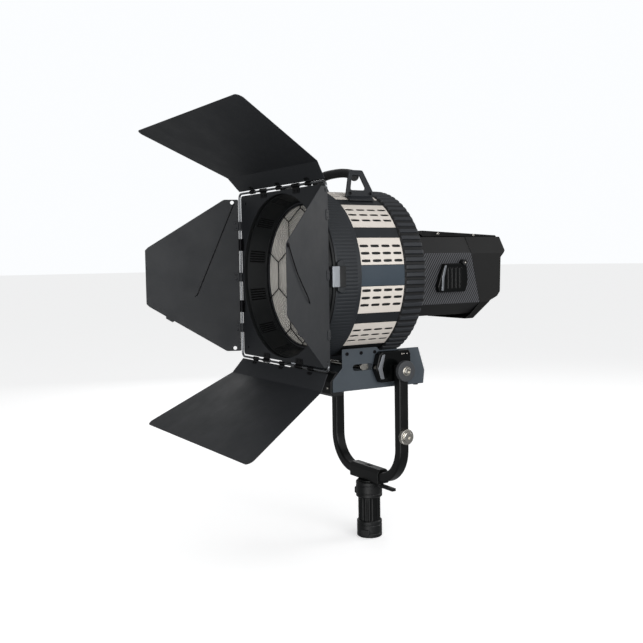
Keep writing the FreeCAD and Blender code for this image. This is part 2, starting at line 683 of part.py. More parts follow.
def make_lens():
    """Lens ring with guide lugs and followers, the fresnel lens and its wire guard."""
    outer = size["lens_ring_radius"]
    lens = size["lens_radius"]
    front, back = size["lens_front"] - 2, size["lens_back"] + 5
    frame = ring([(lens + 0.3, front), (outer, front), (outer, back), (lens - 5, back),
                  (lens - 5, size["lens_back"]), (lens + 0.3, size["lens_back"])])
    pieces = [frame]
    bores = []
    circle = size["rod_circle"]
    lug_front, lug_back = -190.0, -140.0
    for angle in DRIVE_ANGLES:
        x, z = polar(circle, angle)
        pieces.append(rod("Y", size["lug_radius"], lug_front, lug_back, x, AXIS + z))
        bores.append(rod("Y", size["rod_radius"] + CLEAR, lug_front - PAST, lug_back + PAST, x, AXIS + z))
        web = box(outer - 2, circle - 3.5, lug_front, lug_front + 11, AXIS - 4, AXIS + 4)
        pieces.append(about_axis(web, angle))
        pieces.append(spoke(size["follower_radius"], circle + 3.4, size["cam_outer"] - 0.3, FOLLOWER_Y, angle))
    finish(cut(fuse(*pieces), *bores), "lens_frame")

    # plano-convex lens folded into steps: each zone rises from its valley to its crest
    zones = 9
    crest = size["lens_front"] + 1
    valley = size["lens_front"] + 3
    flat = size["lens_back"] - SEAT
    profile = [(0.0, flat), (0.0, crest)]
    for zone in range(1, zones):
        radius = lens * (zone / zones)
        profile += [(radius, valley), (radius + 0.8, crest)]
    profile += [(lens, valley), (lens, flat)]
    finish(ring(profile), "fresnel_lens")

    wire = size["guard_wire"]
    guard_y = front - GAP
    hoop_in, hoop_out = lens - 4, outer - 1
    hoop = ring([(hoop_in, guard_y - wire), (hoop_out, guard_y - wire), (hoop_out, guard_y), (hoop_in, guard_y)])
    bars = [hoop]
    cell = size["guard_cell"].number
    side = cell / math.sqrt(3)
    for x, z, degrees, length in guard_bars(cell, side, number_of(lens) - 2):
        bar = doc.addObject("Part::Box", fresh("wire"))
        bind(bar, Width=wire, Height=wire)
        bar.Length = length
        angle = math.radians(degrees)
        place(bar, x + math.sin(angle) * 0.5 * wire.number, guard_y - wire,
              AXIS + (z - math.cos(angle) * 0.5 * wire.number), Rotation(Vector(0, 1, 0), -degrees))
        bars.append(bar)
    finish(fuse(*bars), "lens_guard")


def guard_bars(cell, side, reach):
    """Start, heading and length of each straight wire of a honeycomb that ends at the hoop.

    Four hexagons meet round the optical axis.  A corner on their outside where two wires meet gets a third one,
    which points away from both and runs out to the hoop.
    """
    centres = [(sign * cell / 2, 0.0) for sign in (-1, 1)]
    centres += [(0.0, sign * cell * math.sqrt(0.75)) for sign in (-1, 1)]
    edges = set()
    for centre_x, centre_z in centres:
        for step in range(6):
            ends = []
            for degrees in (60 * step + 30, 60 * step + 90):
                angle = math.radians(degrees)
                x, z = centre_x + side * math.cos(angle), centre_z + side * math.sin(angle)
                ends.append((round(x, 3), round(z, 3)))
            edges.add(tuple(sorted(ends)))
    neighbours = {}
    wires = []
    for start, end in sorted(edges):
        neighbours.setdefault(start, []).append(end)
        neighbours.setdefault(end, []).append(start)
        across, rise = end[0] - start[0], end[1] - start[1]
        wires.append((start[0], start[1], math.degrees(math.atan2(rise, across)), math.hypot(across, rise)))
    for (x, z), others in neighbours.items():
        if len(others) == 2:
            away_x = 2 * x - others[0][0] - others[1][0]
            away_z = 2 * z - others[0][1] - others[1][1]
            heading = math.atan2(away_z, away_x)
            along = x * math.cos(heading) + z * math.sin(heading)
            length = math.sqrt(along ** 2 - x ** 2 - z ** 2 + reach ** 2) - along
            wires.append((x, z, math.degrees(heading), length))
    return wires


# ---------------------------------------------------------------- barn doors

def make_doors():
    """Square plate and its bearing ring, the wire loop, and four leaves that turn on the loop."""
    plane = size["door_plane"]
    half = size["plate_half"]
    rod_r = size["loop_rod_radius"]
    loop = size["loop_half"]
    plate_front = plane + 1
    plate_back = plane + 3
    sheet_plate = box(-half, half, plate_front, plate_back, AXIS - half, AXIS + half)
    tabs = []
    tab_half = 16
    for along in (-82.0, 82.0):
        first, last = along - tab_half, along + tab_half
        for side in (-1.0, 1.0):
            low, high = sorted((half * side, (loop + 1) * side), key=number_of)
            tabs.append(box(low, high, plate_front, plate_back, AXIS + first, AXIS + last))
            tabs.append(box(first, last, plate_front, plate_back, AXIS + low, AXIS + high))
    opening = rod("Y", size["plate_opening"], plate_front - PAST, plate_back + PAST, 0.0, AXIS)
    finish(cut(fuse(sheet_plate, *tabs), opening), "barndoor_plate")

    sides = []
    corner = 12.0
    for side in (-1.0, 1.0):
        sides.append(rod("X", rod_r, corner - loop, loop - corner, plane, AXIS + loop * side))
        sides.append(rod("Z", rod_r, AXIS - loop + corner, AXIS + loop - corner, loop * side, plane))
    for side_x in (-1.0, 1.0):
        for side_z in (-1.0, 1.0):
            bow = doc.addObject("Part::Torus", fresh("bow"))
            bow.Radius1 = corner
            bind(bow, Radius2=rod_r)
            bow.Angle3 = 90.0
            first = {(1, 1): 0, (-1, 1): 90, (-1, -1): 180, (1, -1): 270}[(int(side_x), int(side_z))]
            turn = Rotation(Vector(1, 0, 0), 90).multiply(Rotation(Vector(0, 0, 1), first))
            place(bow, (loop - corner) * side_x, plane, AXIS + (loop - corner) * side_z, turn)
            sides.append(bow)
    finish(fuse(*sides), "barndoor_loop")

    neck = size["door_ring_neck"]
    rim = size["door_ring_radius"]
    bore = size["plate_opening"] + 0.5
    rim_back = size["drum_front"] - 1
    rim_front = rim_back - 5.5
    finish(ring([(bore, plate_back), (neck, plate_back), (neck, rim_front), (rim, rim_front), (rim, rim_back),
                 (bore, rim_back)]), "barndoor_ring")
    make_leaves()


def hinge_barrels(stations, length=26.0):
    """Rolled barrels about the leaf's own X, and the bore for the loop rod."""
    barrels = [rod("X", size["barrel_radius"], along - length / 2, along + length / 2) for along in stations]
    bore = rod("X", size["loop_rod_radius"] + 0.08, -THROUGH, THROUGH)
    return barrels, bore


def wide_leaf(label, open_degrees, upper):
    """Leaf with a folded flange.  Built closed, hinge along X at the origin, hanging towards -Z."""
    thick = size["leaf_thick"]
    offset = size["leaf_offset"]
    slope = math.radians(size["flange_angle"].number)
    run = size["flange_length"] * math.cos(slope)
    lift = size["flange_length"] * math.sin(slope)
    root = 3.5
    reach = run + size["wide_leaf_reach"]
    face = -offset - lift
    profile = [(-offset, -root), (face, -run), (face, -reach), (face - thick, -reach), (face - thick, -run),
               (-offset - thick, -root)]
    wide = size["wide_leaf_tip"]
    strip = prism("YZ", profile, -wide, wide)
    corner = 16.0
    shape = [(-size["wide_leaf_root"], 0.0), (-size["wide_leaf_bend"], -run), (-wide, corner - reach),
             (corner - wide, -reach - 1), (wide - corner, -reach - 1), (wide, corner - reach),
             (size["wide_leaf_bend"], -run), (size["wide_leaf_root"], 0.0)]
    barrels, bore = hinge_barrels((-140.0, 0.0, 140.0))
    leaf = cut(fuse(common(strip, prism("XZ", shape, -100.0, 10.0)), *barrels), bore)
    holder = group(leaf)
    if upper:
        place(holder, 0.0, size["door_plane"], AXIS + size["loop_half"], Rotation(Vector(1, 0, 0), -open_degrees))
    else:
        flip = Rotation(Vector(0, 1, 0), 180)
        turn = Rotation(Vector(1, 0, 0), open_degrees).multiply(flip)
        place(holder, 0.0, size["door_plane"], AXIS - size["loop_half"], turn)
    finish(holder, label)


def side_leaf(label, open_degrees, side):
    """Trapezoid leaf.  Built closed, hinge along X at the origin, reaching towards -Z, then stood upright."""
    thick = size["leaf_thick"]
    offset = size["leaf_offset"]
    reach = size["side_leaf_reach"]
    root, tip = size["side_leaf_root"], size["side_leaf_tip"]
    foot, shoulder, corner = -3.5, -42.0, 8 - reach
    shape = [(-root, foot), (-root, shoulder), (-tip - 6, corner), (-tip + 4, -reach), (tip - 4, -reach),
             (tip + 6, corner), (root, shoulder), (root, foot)]
    barrels, bore = hinge_barrels((-140.0, -4.0, 132.0))
    plate = prism("XZ", shape, -offset - thick, -offset)
    holes = [rod("Y", 5.0, -20.0, 5.0, along, -20.0) for along in (-195.0, 195.0)]
    leaf = cut(fuse(plate, *barrels), bore, *holes)
    holder = group(leaf)
    # stand the hinge upright, then open about it
    upright = Rotation(Vector(0, 1, 0), 90.0 * side)
    turn = Rotation(Vector(0, 0, 1), open_degrees * side).multiply(upright)
    place(holder, size["loop_half"] * side, size["door_plane"], AXIS, turn)
    finish(holder, label)


def make_leaves():
    """The four leaves in the open pose."""
    wide_leaf("leaf_top", size["top_leaf_open"].number, True)
    wide_leaf("leaf_bottom", size["bottom_leaf_open"].number, False)
    side_leaf("leaf_right", size["right_leaf_open"].number, 1.0)
    side_leaf("leaf_left", size["left_leaf_open"].number, -1.0)


# ---------------------------------------------------------------- LED head

def octagon(inset, bottom):
    """The head's section in X and Z, shrunk by an inset."""
    half = size["head_half"] - inset
    shoulder = size["head_shoulder"] - inset * 0.8
    belly = size["head_belly"] - inset * 0.8
    top = AXIS + size["head_top"] - inset
    low = AXIS - bottom + inset
    side_top = AXIS + size["head_side_top"]
    side_low = AXIS - size["head_side_bottom"]
    return [(half, side_low), (half, side_top), (shoulder, top), (-shoulder, top), (-half, side_top),
            (-half, side_low), (-belly, low), (belly, low)]


def head_solid(inset, bottom, side):
    """The octagon carried along Y, trimmed to a side view."""
    return common(prism("XZ", octagon(inset, bottom), 0.0, 420.0), prism("YZ", side, -130.0, 130.0))


def make_head():
    """Case, rear shroud, top rail, side docks and everything inside and on the back."""
    front = size["head_front"]
    wall = size["head_wall"]
    high, low = AXIS + 120, AXIS - 135
    case_side = [(front, low), (front, high), (258.0, high), (262.0, AXIS + 80), (298.0, AXIS - 85),
                 (280.0, AXIS - 117), (279.0, low)]
    hollow_side = [(front + wall, low), (front + wall, high), (330.0, high), (330.0, low)]
    belly = AXIS - size["head_bottom"]
    vents = [box(x - 2.5, x + 2.5, 110.0, 200.0, belly - 5, belly + 5) for x in range(-66, 67, 12)]
    finish(cut(head_solid(0.0, size["head_bottom"], case_side),
               head_solid(wall, size["head_bottom"], hollow_side),
               rod("Y", size["led_hole"], front - 5, front + 10, 0.0, AXIS), *vents), "head_case")

    shroud_side = [(258.3, high), (384.0, high), (386.0, AXIS + 92), (392.0, AXIS + 57), (374.0, AXIS + 39),
                   (371.0, AXIS - 55), (360.0, AXIS - 68), (334.0, AXIS - 79), (297.0, AXIS - 127),
                   (267.0, AXIS - 127), (280.4, AXIS - 117), (298.3, AXIS - 85), (262.3, AXIS + 80)]
    room_side = [(250.0, high), (382.0, high), (384.0, AXIS + 90), (388.0, AXIS + 60), (371.0, AXIS + 43),
                 (368.0, AXIS - 52), (358.0, AXIS - 65), (331.0, AXIS - 76), (294.0, AXIS - 124),
                 (250.0, AXIS - 124)]
    opening = box(-88.0, 88.0, 360.0, 380.0, AXIS - 47, AXIS + 36)
    finish(cut(head_solid(-1.0, size["head_bottom"] + 14, shroud_side),
               head_solid(wall, size["head_bottom"] + 12, room_side), opening), "head_rear_shroud")

    rail_foot = AXIS + size["head_top"] + 1.3
    finish(prism("YZ", [(124.0, rail_foot), (118.0, rail_foot + 6), (124.0, rail_foot + 16), (380.0, rail_foot + 4),
                        (384.0, rail_foot)], -80.0, 80.0), "head_top_rail")

    half = size["head_half"]
    outer = size["head_dock_outer"]
    dock_side = [(147.0, AXIS - 51), (236.0, AXIS - 51), (244.0, AXIS - 20), (240.0, AXIS + 24), (166.0, AXIS + 24),
                 (158.0, AXIS + 8), (142.0, AXIS - 36)]
    button_y, button_z = 232.0, AXIS + 26
    button = 8.2
    dock = cut(prism("YZ", dock_side, half + SEAT, outer),
               rod("X", button + 0.6, half - 5, outer + 5, button_y, button_z))
    finish(both_sides(dock), "head_side_docks")
    finish(rod("X", button, half + 2, outer + 2, button_y, button_z), "dock_button")
    make_head_inside()
    make_back_panel()


def make_head_inside():
    """LED module, reflector, heat sink, heat pipes, fan and driver board."""
    throat, mouth, wall = 22.0, 54.0, 1.5
    throat_y, mouth_y = 76.0, 38.0
    finish(ring([(throat, throat_y), (mouth, mouth_y), (mouth + wall, mouth_y), (mouth + wall, mouth_y + 2),
                 (throat + wall, throat_y + wall), (throat, throat_y + wall)]), "led_reflector")
    plate = 40.0
    finish(fuse(box(-plate, plate, 80.0, 88.0, AXIS - plate, AXIS + plate),
                rod("Y", 19.0, 78.5, 80.5, 0.0, AXIS)), "led_module")
    base_half, base_back = 62.0, 98.0
    fins = [box(-base_half, base_half, 88.2, base_back, AXIS - base_half, AXIS + base_half)]
    fin_count, fin_half = 12, 60.0
    for index in range(fin_count):
        x = fin_half * (2 * index / (fin_count - 1) - 1)
        fins.append(box(x - 1, x + 1, base_back - 0.5, 225.0, AXIS - fin_half, AXIS + fin_half))
    pipe = 4.0
    pipe_rows = [(x, z) for x in (-33.0, -11.0, 11.0, 33.0) for z in (-30.0, 30.0)]
    bores = [rod("Y", pipe + SEAT, base_back - PAST, 235.0, x, AXIS + z) for x, z in pipe_rows]
    finish(cut(fuse(*fins), *bores), "heat_sink")
    finish(group(*[rod("Y", pipe, base_back + SEAT, 230.0, x, AXIS + z) for x, z in pipe_rows]), "heat_pipes")
    fan = size["fan_half"]
    face, back, axle = 236.0, 261.0, 4.0
    frame = cut(box(-fan, fan, face, back, AXIS - fan, AXIS + fan),
                rod("Y", fan - 4, face - PAST, back + PAST, 0.0, AXIS))
    struts = [about_axis(box(8.0, fan - 2, face, face + 3, AXIS - 2, AXIS + 2), angle)
              for angle in (45, 135, 225, 315)]
    finish(fuse(frame, *struts, rod("Y", 18.0, face, face + 4, 0.0, AXIS),
                rod("Y", axle, face + 3, face + 16, 0.0, AXIS)), "fan_frame")
    blades = []
    blade_count = 7
    for index in range(blade_count):
        blade = box(16.0, size["fan_radius"], face + 7, face + 21, AXIS - 1, AXIS + 1)
        blades.append(about_axis(blade, index * 360.0 / blade_count))
    finish(cut(fuse(rod("Y", 20.0, face + 6, face + 23, 0.0, AXIS), *blades),
               rod("Y", axle + CLEAR, face + 5, face + 17, 0.0, AXIS)), "fan_rotor")
    finish(fuse(box(-70.0, 70.0, 275.0, 277.0, AXIS - 70, AXIS + 60),
                box(-50.0, -20.0, 276.5, 300.0, AXIS - 40, AXIS - 5),
                box(5.0, 45.0, 276.5, 294.0, AXIS - 30, AXIS + 30)), "driver_board")


def make_back_panel():
    """Control panel with its display, two knobs, a power button and the inlet sockets."""
    face = 367.0
    shank, button = 3.0, 6.0
    column, low_row = 58.0, 32
    inlet = box(-76.0, -44.0, 340.0, face + 2, AXIS - 46, AXIS - 18)
    inlet_well = box(-72.0, -48.0, 348.0, face + 5, AXIS - 42, AXIS - 22)
    panel = box(-90.0, 90.0, face - 3, face - 0.2, AXIS - 50, AXIS + 38)
    knob_y0, knob_y1 = face + 0.2, face + 14
    knob_spots = {"dimmer_knob": (column, 10.0, 13.0), "menu_knob": (-column, 10.0, 11.0)}
    tools = [box(-76.0 - SEAT, SEAT - 44.0, face - 20, face + 5, AXIS - 46 - SEAT, AXIS - 18 + SEAT)]
    for x, z, _ in knob_spots.values():
        tools.append(rod("Y", shank + CLEAR, face - 20, face + 5, x, AXIS + z))
    tools.append(rod("Y", button + 0.4, face - 20, face + 5, column, AXIS - low_row))
    finish(cut(panel, *tools), "rear_panel")
    finish(box(-38.0, 38.0, face - 0.1, face + 1, AXIS - 14, AXIS + 30), "display_window")
    finish(cut(inlet, inlet_well), "power_inlet")
    for label, (x, z, radius) in knob_spots.items():
        finish(fuse(rod("Y", radius, knob_y0, knob_y1, x, AXIS + z),
                    rod("Y", shank, face - 8, knob_y0 + 1, x, AXIS + z)), label)
    finish(rod("Y", button, face - 6, face + 3, column, AXIS - low_row), "power_button")


make_socket()
make_yoke()
make_tilt()
make_cradle()
make_drum()
make_zoom()
make_lens()
make_doors()
make_head()

doc.recompute()
failed = [item.Label for item in doc.Objects if "Invalid" in item.State or "Error" in item.State]
if failed:
    raise RuntimeError(f"these objects did not compute: {failed}")
os.makedirs("parts", exist_ok=True)
for piece in parts:
    if piece.Shape.isNull() or not piece.Shape.isValid() or not piece.Shape.Solids:
        raise RuntimeError(f"{piece.Label} has no valid solid")
    piece.Shape.exportStep(f"parts/{piece.Label}.step")
    print(piece.Label, len(piece.Shape.Solids), round(piece.Shape.Volume / 1000, 1))
print(len(parts), "sub-parts")
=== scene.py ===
"""Looks of a large fresnel spotlight: barn doors, ribbed drum, plug-in LED head, yoke and stand socket.

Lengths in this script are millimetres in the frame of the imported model; MM takes them to metres.
"""

import json
import math

import bmesh
import bpy
import numpy as np
from mathutils import Matrix, Vector

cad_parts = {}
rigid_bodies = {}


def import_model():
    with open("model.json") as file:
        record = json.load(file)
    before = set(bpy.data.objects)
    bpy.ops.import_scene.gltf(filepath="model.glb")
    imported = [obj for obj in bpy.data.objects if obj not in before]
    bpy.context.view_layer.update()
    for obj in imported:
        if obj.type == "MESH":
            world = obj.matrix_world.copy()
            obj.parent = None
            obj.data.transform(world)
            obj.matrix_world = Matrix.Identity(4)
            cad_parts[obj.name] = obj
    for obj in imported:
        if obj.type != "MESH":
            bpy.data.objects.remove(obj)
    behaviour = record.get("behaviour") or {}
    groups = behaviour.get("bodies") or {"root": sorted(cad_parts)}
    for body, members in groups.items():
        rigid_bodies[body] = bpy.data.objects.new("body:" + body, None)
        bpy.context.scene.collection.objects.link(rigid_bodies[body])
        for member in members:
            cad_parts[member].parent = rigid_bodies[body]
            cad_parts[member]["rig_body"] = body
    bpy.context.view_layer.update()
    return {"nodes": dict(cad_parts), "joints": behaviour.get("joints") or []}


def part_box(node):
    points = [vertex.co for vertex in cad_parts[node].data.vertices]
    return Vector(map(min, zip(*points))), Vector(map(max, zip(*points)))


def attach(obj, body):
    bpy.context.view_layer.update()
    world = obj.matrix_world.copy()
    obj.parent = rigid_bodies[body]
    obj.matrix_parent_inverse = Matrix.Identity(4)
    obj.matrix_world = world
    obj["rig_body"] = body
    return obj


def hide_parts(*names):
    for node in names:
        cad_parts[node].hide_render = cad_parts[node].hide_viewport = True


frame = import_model()

MM = 0.001
TAU = 2 * math.pi
NODES = frame["nodes"]
X, Y, Z = np.eye(3)


def span(node):
    """A CAD node's lowest and highest corner."""
    low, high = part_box(node)
    return np.array(low) / MM, np.array(high) / MM


def pivot(joint):
    """Where a joint's axis passes."""
    found = next(entry for entry in frame["joints"] if entry["name"] == joint)
    return np.array(found["pos_m"]) / MM


AXIS_Z = pivot("zoom_turn")[2]
TILT_Z = pivot("lamp_tilt")[2]


# ---------------------------------------------------------------- shapes as arrays of points

def unit(vectors):
    """Vectors scaled to length one."""
    return vectors / np.linalg.norm(vectors, axis=-1, keepdims=True)


def rounded(corners, radius, steps=6, closed=True):
    """A run of straight lines whose corners are arcs of one radius, flat or in space.

    Each arc's centre lies along the corner's bisector, radius over the sine of the half angle away, and its
    points turn evenly from the first tangent point to the last.
    """
    corners = np.asarray(corners, float)
    middle = corners if closed else corners[1:-1]
    back = unit((np.roll(corners, 1, 0) if closed else corners[:-2]) - middle)
    ahead = unit((np.roll(corners, -1, 0) if closed else corners[2:]) - middle)
    radius = np.broadcast_to(np.asarray(radius, float), len(middle))
    half = 0.5 * np.arccos(np.clip((back * ahead).sum(1), -1, 1))
    centre = middle + unit(back + ahead) * (radius / np.sin(half))[:, None]
    first = middle + back * (radius / np.tan(half))[:, None] - centre
    last = middle + ahead * (radius / np.tan(half))[:, None] - centre
    turn = (math.pi - 2 * half)[:, None]
    share = np.linspace(0, 1, steps)[None, :]
    weight_first = np.sin((1 - share) * turn) / np.sin(turn)
    weight_last = np.sin(share * turn) / np.sin(turn)
    arcs = centre[:, None] + weight_first[..., None] * first[:, None] + weight_last[..., None] * last[:, None]
    points = arcs.reshape(-1, corners.shape[1])
    return points if closed else np.vstack([corners[:1], points, corners[-1:]])


def dense(outline, step):
    """The same closed outline with its points at most one step apart, evenly spaced on each line."""
    ahead = np.roll(outline, -1, 0) - outline
    count = np.ceil(np.linalg.norm(ahead, axis=1) / step).astype(int).clip(1)
    line = np.repeat(np.arange(len(outline)), count)
    place_in_line = np.arange(count.sum()) - np.repeat(np.cumsum(count) - count, count)
    return outline[line] + ahead[line] * (place_in_line / count[line])[:, None]


def circle(radius, count=96, centre=(0.0, 0.0)):
    """Points evenly round a circle."""
    angle = np.arange(count) * TAU / count
    return np.stack([centre[0] + radius * np.cos(angle), centre[1] + radius * np.sin(angle)], -1)


def oblong(length, height, corner, steps=6):
    """A rectangle about the middle with rounded corners."""
    half_length, half_height = length / 2, height / 2
    corners = [(-half_length, -half_height), (half_length, -half_height),
               (half_length, half_height), (-half_length, half_height)]
    return rounded(corners, corner, steps)


def outward(outline):
    """Unit normals of a closed outline: the chord between a point's neighbours, turned outwards."""
    chord = np.roll(outline, -1, 0) - np.roll(outline, 1, 0)
    ahead = np.roll(outline, -1, 0)
    turning = np.sign((outline[:, 0] * ahead[:, 1] - ahead[:, 0] * outline[:, 1]).sum())
    return unit(np.stack([chord[:, 1], -chord[:, 0]], -1)) * turning


QUARTER = np.linspace(0, math.pi / 2, 4)


def slab(outline, low, high, edge=0.6, hole=None):
    """A plate with rounded rims, as rings of points (u, v, height).

    The rings start in the middle, or on the rim of the hole, run out over the top, round the outer rim in two
    quarter arcs, and back below.  On an arc the outline moves inwards along its normal, by edge * (1 - sin).
    The hole's rim is read along the ray from its middle to each outline point.
    """
    inset = np.concatenate([edge * (1 - np.sin(QUARTER)), edge * (1 - np.sin(QUARTER[::-1]))])
    level = np.concatenate([high - edge * (1 - np.cos(QUARTER)), low + edge * (1 - np.cos(QUARTER[::-1]))])
    rim = outline[None] - outward(outline)[None] * inset[:, None, None]
    rings = np.dstack([rim, np.broadcast_to(level[:, None], rim.shape[:2])])
    if hole is None:
        centre = outline.mean(0)
        pole = np.broadcast_to(centre, (1,) + outline.shape)
        top = np.dstack([pole, np.full((1, len(outline)), high)])
        bottom = np.dstack([pole, np.full((1, len(outline)), low)])
        return np.concatenate([top, rings, bottom]), False, True
    centre = hole.mean(0)
    bearing = np.arctan2(*(hole - centre).T[::-1])
    order = np.argsort(bearing)
    towards = np.arctan2(*(outline - centre).T[::-1])
    reach = np.interp(towards, bearing[order], np.linalg.norm(hole - centre, axis=1)[order], period=TAU)
    bore = centre + reach[:, None] * np.stack([np.cos(towards), np.sin(towards)], -1)
    wall = bore[None] + outward(bore)[None] * inset[::-1, None, None]
    inner = np.dstack([wall, np.broadcast_to(level[::-1, None], wall.shape[:2])])
    return np.concatenate([rings, inner]), True, True


def laid(sheet, origin, across, along, up):
    """A sheet of (u, v, height) points put in the frame at an origin, along three directions."""
    points, rows, columns = sheet
    axes = np.stack([np.asarray(axis, float) for axis in (across, along, up)])
    return points @ axes + np.asarray(origin, float), rows, columns


def moved(sheet, matrix):
    """A sheet carried by a 4 x 4 matrix."""
    points, rows, columns = sheet
    matrix = np.array(matrix)
    return points @ matrix[:3, :3].T + matrix[:3, 3], rows, columns


def mirrored(sheet):
    """A sheet on the other side of the lamp."""
    points, rows, columns = sheet
    return points * np.array([-1.0, 1.0, 1.0]), rows, columns


def ribbon(width, centre, normal, thick, across=2):
    """A strip of plate along a line in the u = 0 plane, one row of points per station, its ends closed.

    A row runs over the top from -width to +width and back below, half the thickness either side.
    """
    share = np.linspace(-1, 1, across)
    u = np.concatenate([share, share[::-1]])
    side = np.concatenate([np.ones(across), -np.ones(across)])
    half = np.concatenate([[0.0], np.full(len(centre), thick / 2), [0.0]])
    width = np.concatenate([width[:1], width, width[-1:]])
    centre = np.vstack([centre[:1], centre, centre[-1:]])
    normal = np.vstack([normal[:1], normal, normal[-1:]])
    rest = centre[:, None] + normal[:, None] * (half[:, None] * side[None])[..., None]
    return np.concatenate([(width[:, None] * u[None])[..., None], rest], -1), False, True


def spun(profile, count=144, wave=None):
    """A profile of (radius, y) pairs turned about the optical axis.

    A third number in a pair is how much of wave(angle) its radius gains.
    """
    profile = np.asarray(profile, float)
    angle = np.arange(count) * TAU / count if isinstance(count, int) else np.asarray(count)
    radius = np.broadcast_to(profile[:, 0, None], (len(profile), len(angle)))
    if wave is not None:
        radius = radius + profile[:, 2, None] * wave(angle)[None]
    y = np.broadcast_to(profile[:, 1, None], radius.shape)
    return np.stack([radius * np.cos(angle), y, AXIS_Z + radius * np.sin(angle)], -1)


def lathe(stations, origin, direction, count=40, lobes=0, lobe_depth=0.0):
    """A turned piece: stations are (radius, height, sides) along a direction from the origin.

    Sides of 0 is round; otherwise the radius is to the flats of that polygon, so it grows by 1 / cos of the
    angle from the nearest flat.  Lobes add a cosine of that many waves to every station but those at zero.
    """
    stations = np.asarray([tuple(entry) + (0,) * (3 - len(entry)) for entry in stations], float)
    angle = np.arange(count) * TAU / count
    sides = np.where(stations[:, 2] > 0, stations[:, 2], 1e9)
    sector = TAU / sides[:, None]
    off_flat = (angle[None] + sector / 2) % sector - sector / 2
    radius = np.where(stations[:, 2, None] > 0, stations[:, 0, None] / np.cos(off_flat), stations[:, 0, None])
    radius = radius + lobe_depth * np.cos(lobes * angle)[None] * (stations[:, 0, None] > 0)
    up = unit(np.asarray(direction, float))
    across = unit(np.cross(up, X if abs(up[0]) < 0.9 else Y))
    along = np.cross(up, across)
    around = np.cos(angle)[:, None] * across + np.sin(angle)[:, None] * along
    points = np.asarray(origin) + radius[..., None] * around[None] + stations[:, 1, None, None] * up
    return points, False, True


def bar(path, radius, count=12, closed=False):
    """A round bar along a path: a circle square to the path at each point, with rounded ends."""
    path = np.asarray(path, float)
    tangent = np.roll(path, -1, 0) - np.roll(path, 1, 0) if closed else np.gradient(path, axis=0)
    tangent = unit(tangent)
    spread = np.abs(tangent).max(0)
    side = unit(np.cross(tangent, np.eye(3)[np.argmin(spread)]))
    up = np.cross(tangent, side)
    angle = np.arange(count) * TAU / count
    around = np.cos(angle)[None, :, None] * side[:, None] + np.sin(angle)[None, :, None] * up[:, None]
    if closed:
        return path[:, None] + radius * around, True, True
    pick = [0, 0, 0] + list(range(1, len(path) - 1)) + [-1, -1, -1]
    girth = np.array([0, 0.7, 1.0] + [1.0] * (len(path) - 2) + [1.0, 0.7, 0]) * radius
    push = np.array([-1.0, -0.7, 0] + [0] * (len(path) - 2) + [0, 0.7, 1.0]) * radius
    shift = (push[:, None] * tangent[pick])[:, None]
    points = path[pick][:, None] + girth[:, None, None] * around[pick] + shift
    return points, False, True


def carried(profile, path, side):
    """A closed profile of (side, outward) offsets carried along a flat path, its ends closed."""
    path = np.asarray(path, float)
    tangent = unit(np.gradient(path, axis=0))
    out = np.cross(tangent, side)
    size = np.concatenate([[0.0], np.ones(len(path)), [0.0]])[:, None, None]
    pick = [0] + list(range(len(path))) + [-1]
    offset = profile[None, :, :1] * np.asarray(side) + profile[None, :, 1:] * out[pick][:, None]
    return path[pick][:, None] + offset * size, False, True


def wrapped(sheet, radius):
    """A sheet of (y, arc, height) bent round the optical axis; the angle is the arc over the radius."""
    points, rows, columns = sheet
    angle = points[..., 1] / radius
    reach = radius + points[..., 2]
    bent_points = np.stack([reach * np.cos(angle), points[..., 0], AXIS_Z + reach * np.sin(angle)], -1)
    return bent_points, rows, columns


# ---------------------------------------------------------------- pieces

def mesh_of(name, sheets):
    """One mesh from sheets of points: quads between neighbours, doubles merged, normals outwards."""
    points, faces, base = [], [], 0
    for grid, closed_rows, closed_columns in sheets:
        index = base + np.arange(grid.shape[0] * grid.shape[1]).reshape(grid.shape[:2])
        index = np.vstack([index, index[:1]]) if closed_rows else index
        index = np.hstack([index, index[:, :1]]) if closed_columns else index
        faces.append(np.stack([index[:-1, :-1], index[1:, :-1], index[1:, 1:], index[:-1, 1:]],
                              -1).reshape(-1, 4))
        points.append(grid.reshape(-1, 3))
        base += grid.shape[0] * grid.shape[1]
    mesh = bpy.data.meshes.new(name)
    mesh.from_pydata((np.vstack(points) * MM).tolist(), [], np.vstack(faces).tolist())
    work = bmesh.new()
    work.from_mesh(mesh)
    bmesh.ops.remove_doubles(work, verts=work.verts, dist=0.004 * MM)
    bmesh.ops.dissolve_degenerate(work, edges=work.edges, dist=0.001 * MM)
    bmesh.ops.recalc_face_normals(work, faces=work.faces)
    work.to_mesh(mesh)
    work.free()
    return mesh


SOFT_EDGE = math.radians(34)


def show(name, mesh, body, finish, stands_for=(), bevel=0.0, wall=0.0):
    """Makes a mesh a piece: smooth but for its hard edges, finished, and riding on its body."""
    mesh.shade_smooth()
    mesh.set_sharp_from_angle(angle=SOFT_EDGE)
    piece = bpy.data.objects.new(name, mesh)
    bpy.context.scene.collection.objects.link(piece)
    piece.data.materials.append(finish)
    if wall:
        thicken = piece.modifiers.new("wall", "SOLIDIFY")
        thicken.thickness = wall * MM
        thicken.offset = 0.0
    if bevel:
        soften = piece.modifiers.new("edges", "BEVEL")
        soften.width = bevel * MM
        soften.segments = 2
        soften.limit_method = "ANGLE"
        soften.angle_limit = SOFT_EDGE
        soften.harden_normals = False
    weigh = piece.modifiers.new("flat_faces", "WEIGHTED_NORMAL")
    weigh.keep_sharp = True
    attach(piece, body)
    if stands_for:
        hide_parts(*stands_for)
    return piece


def make(name, sheets, body, finish, stands_for=(), bevel=0.0, wall=0.0):
    """A piece from sheets of points."""
    return show(name, mesh_of(name, sheets), body, finish, stands_for, bevel, wall)


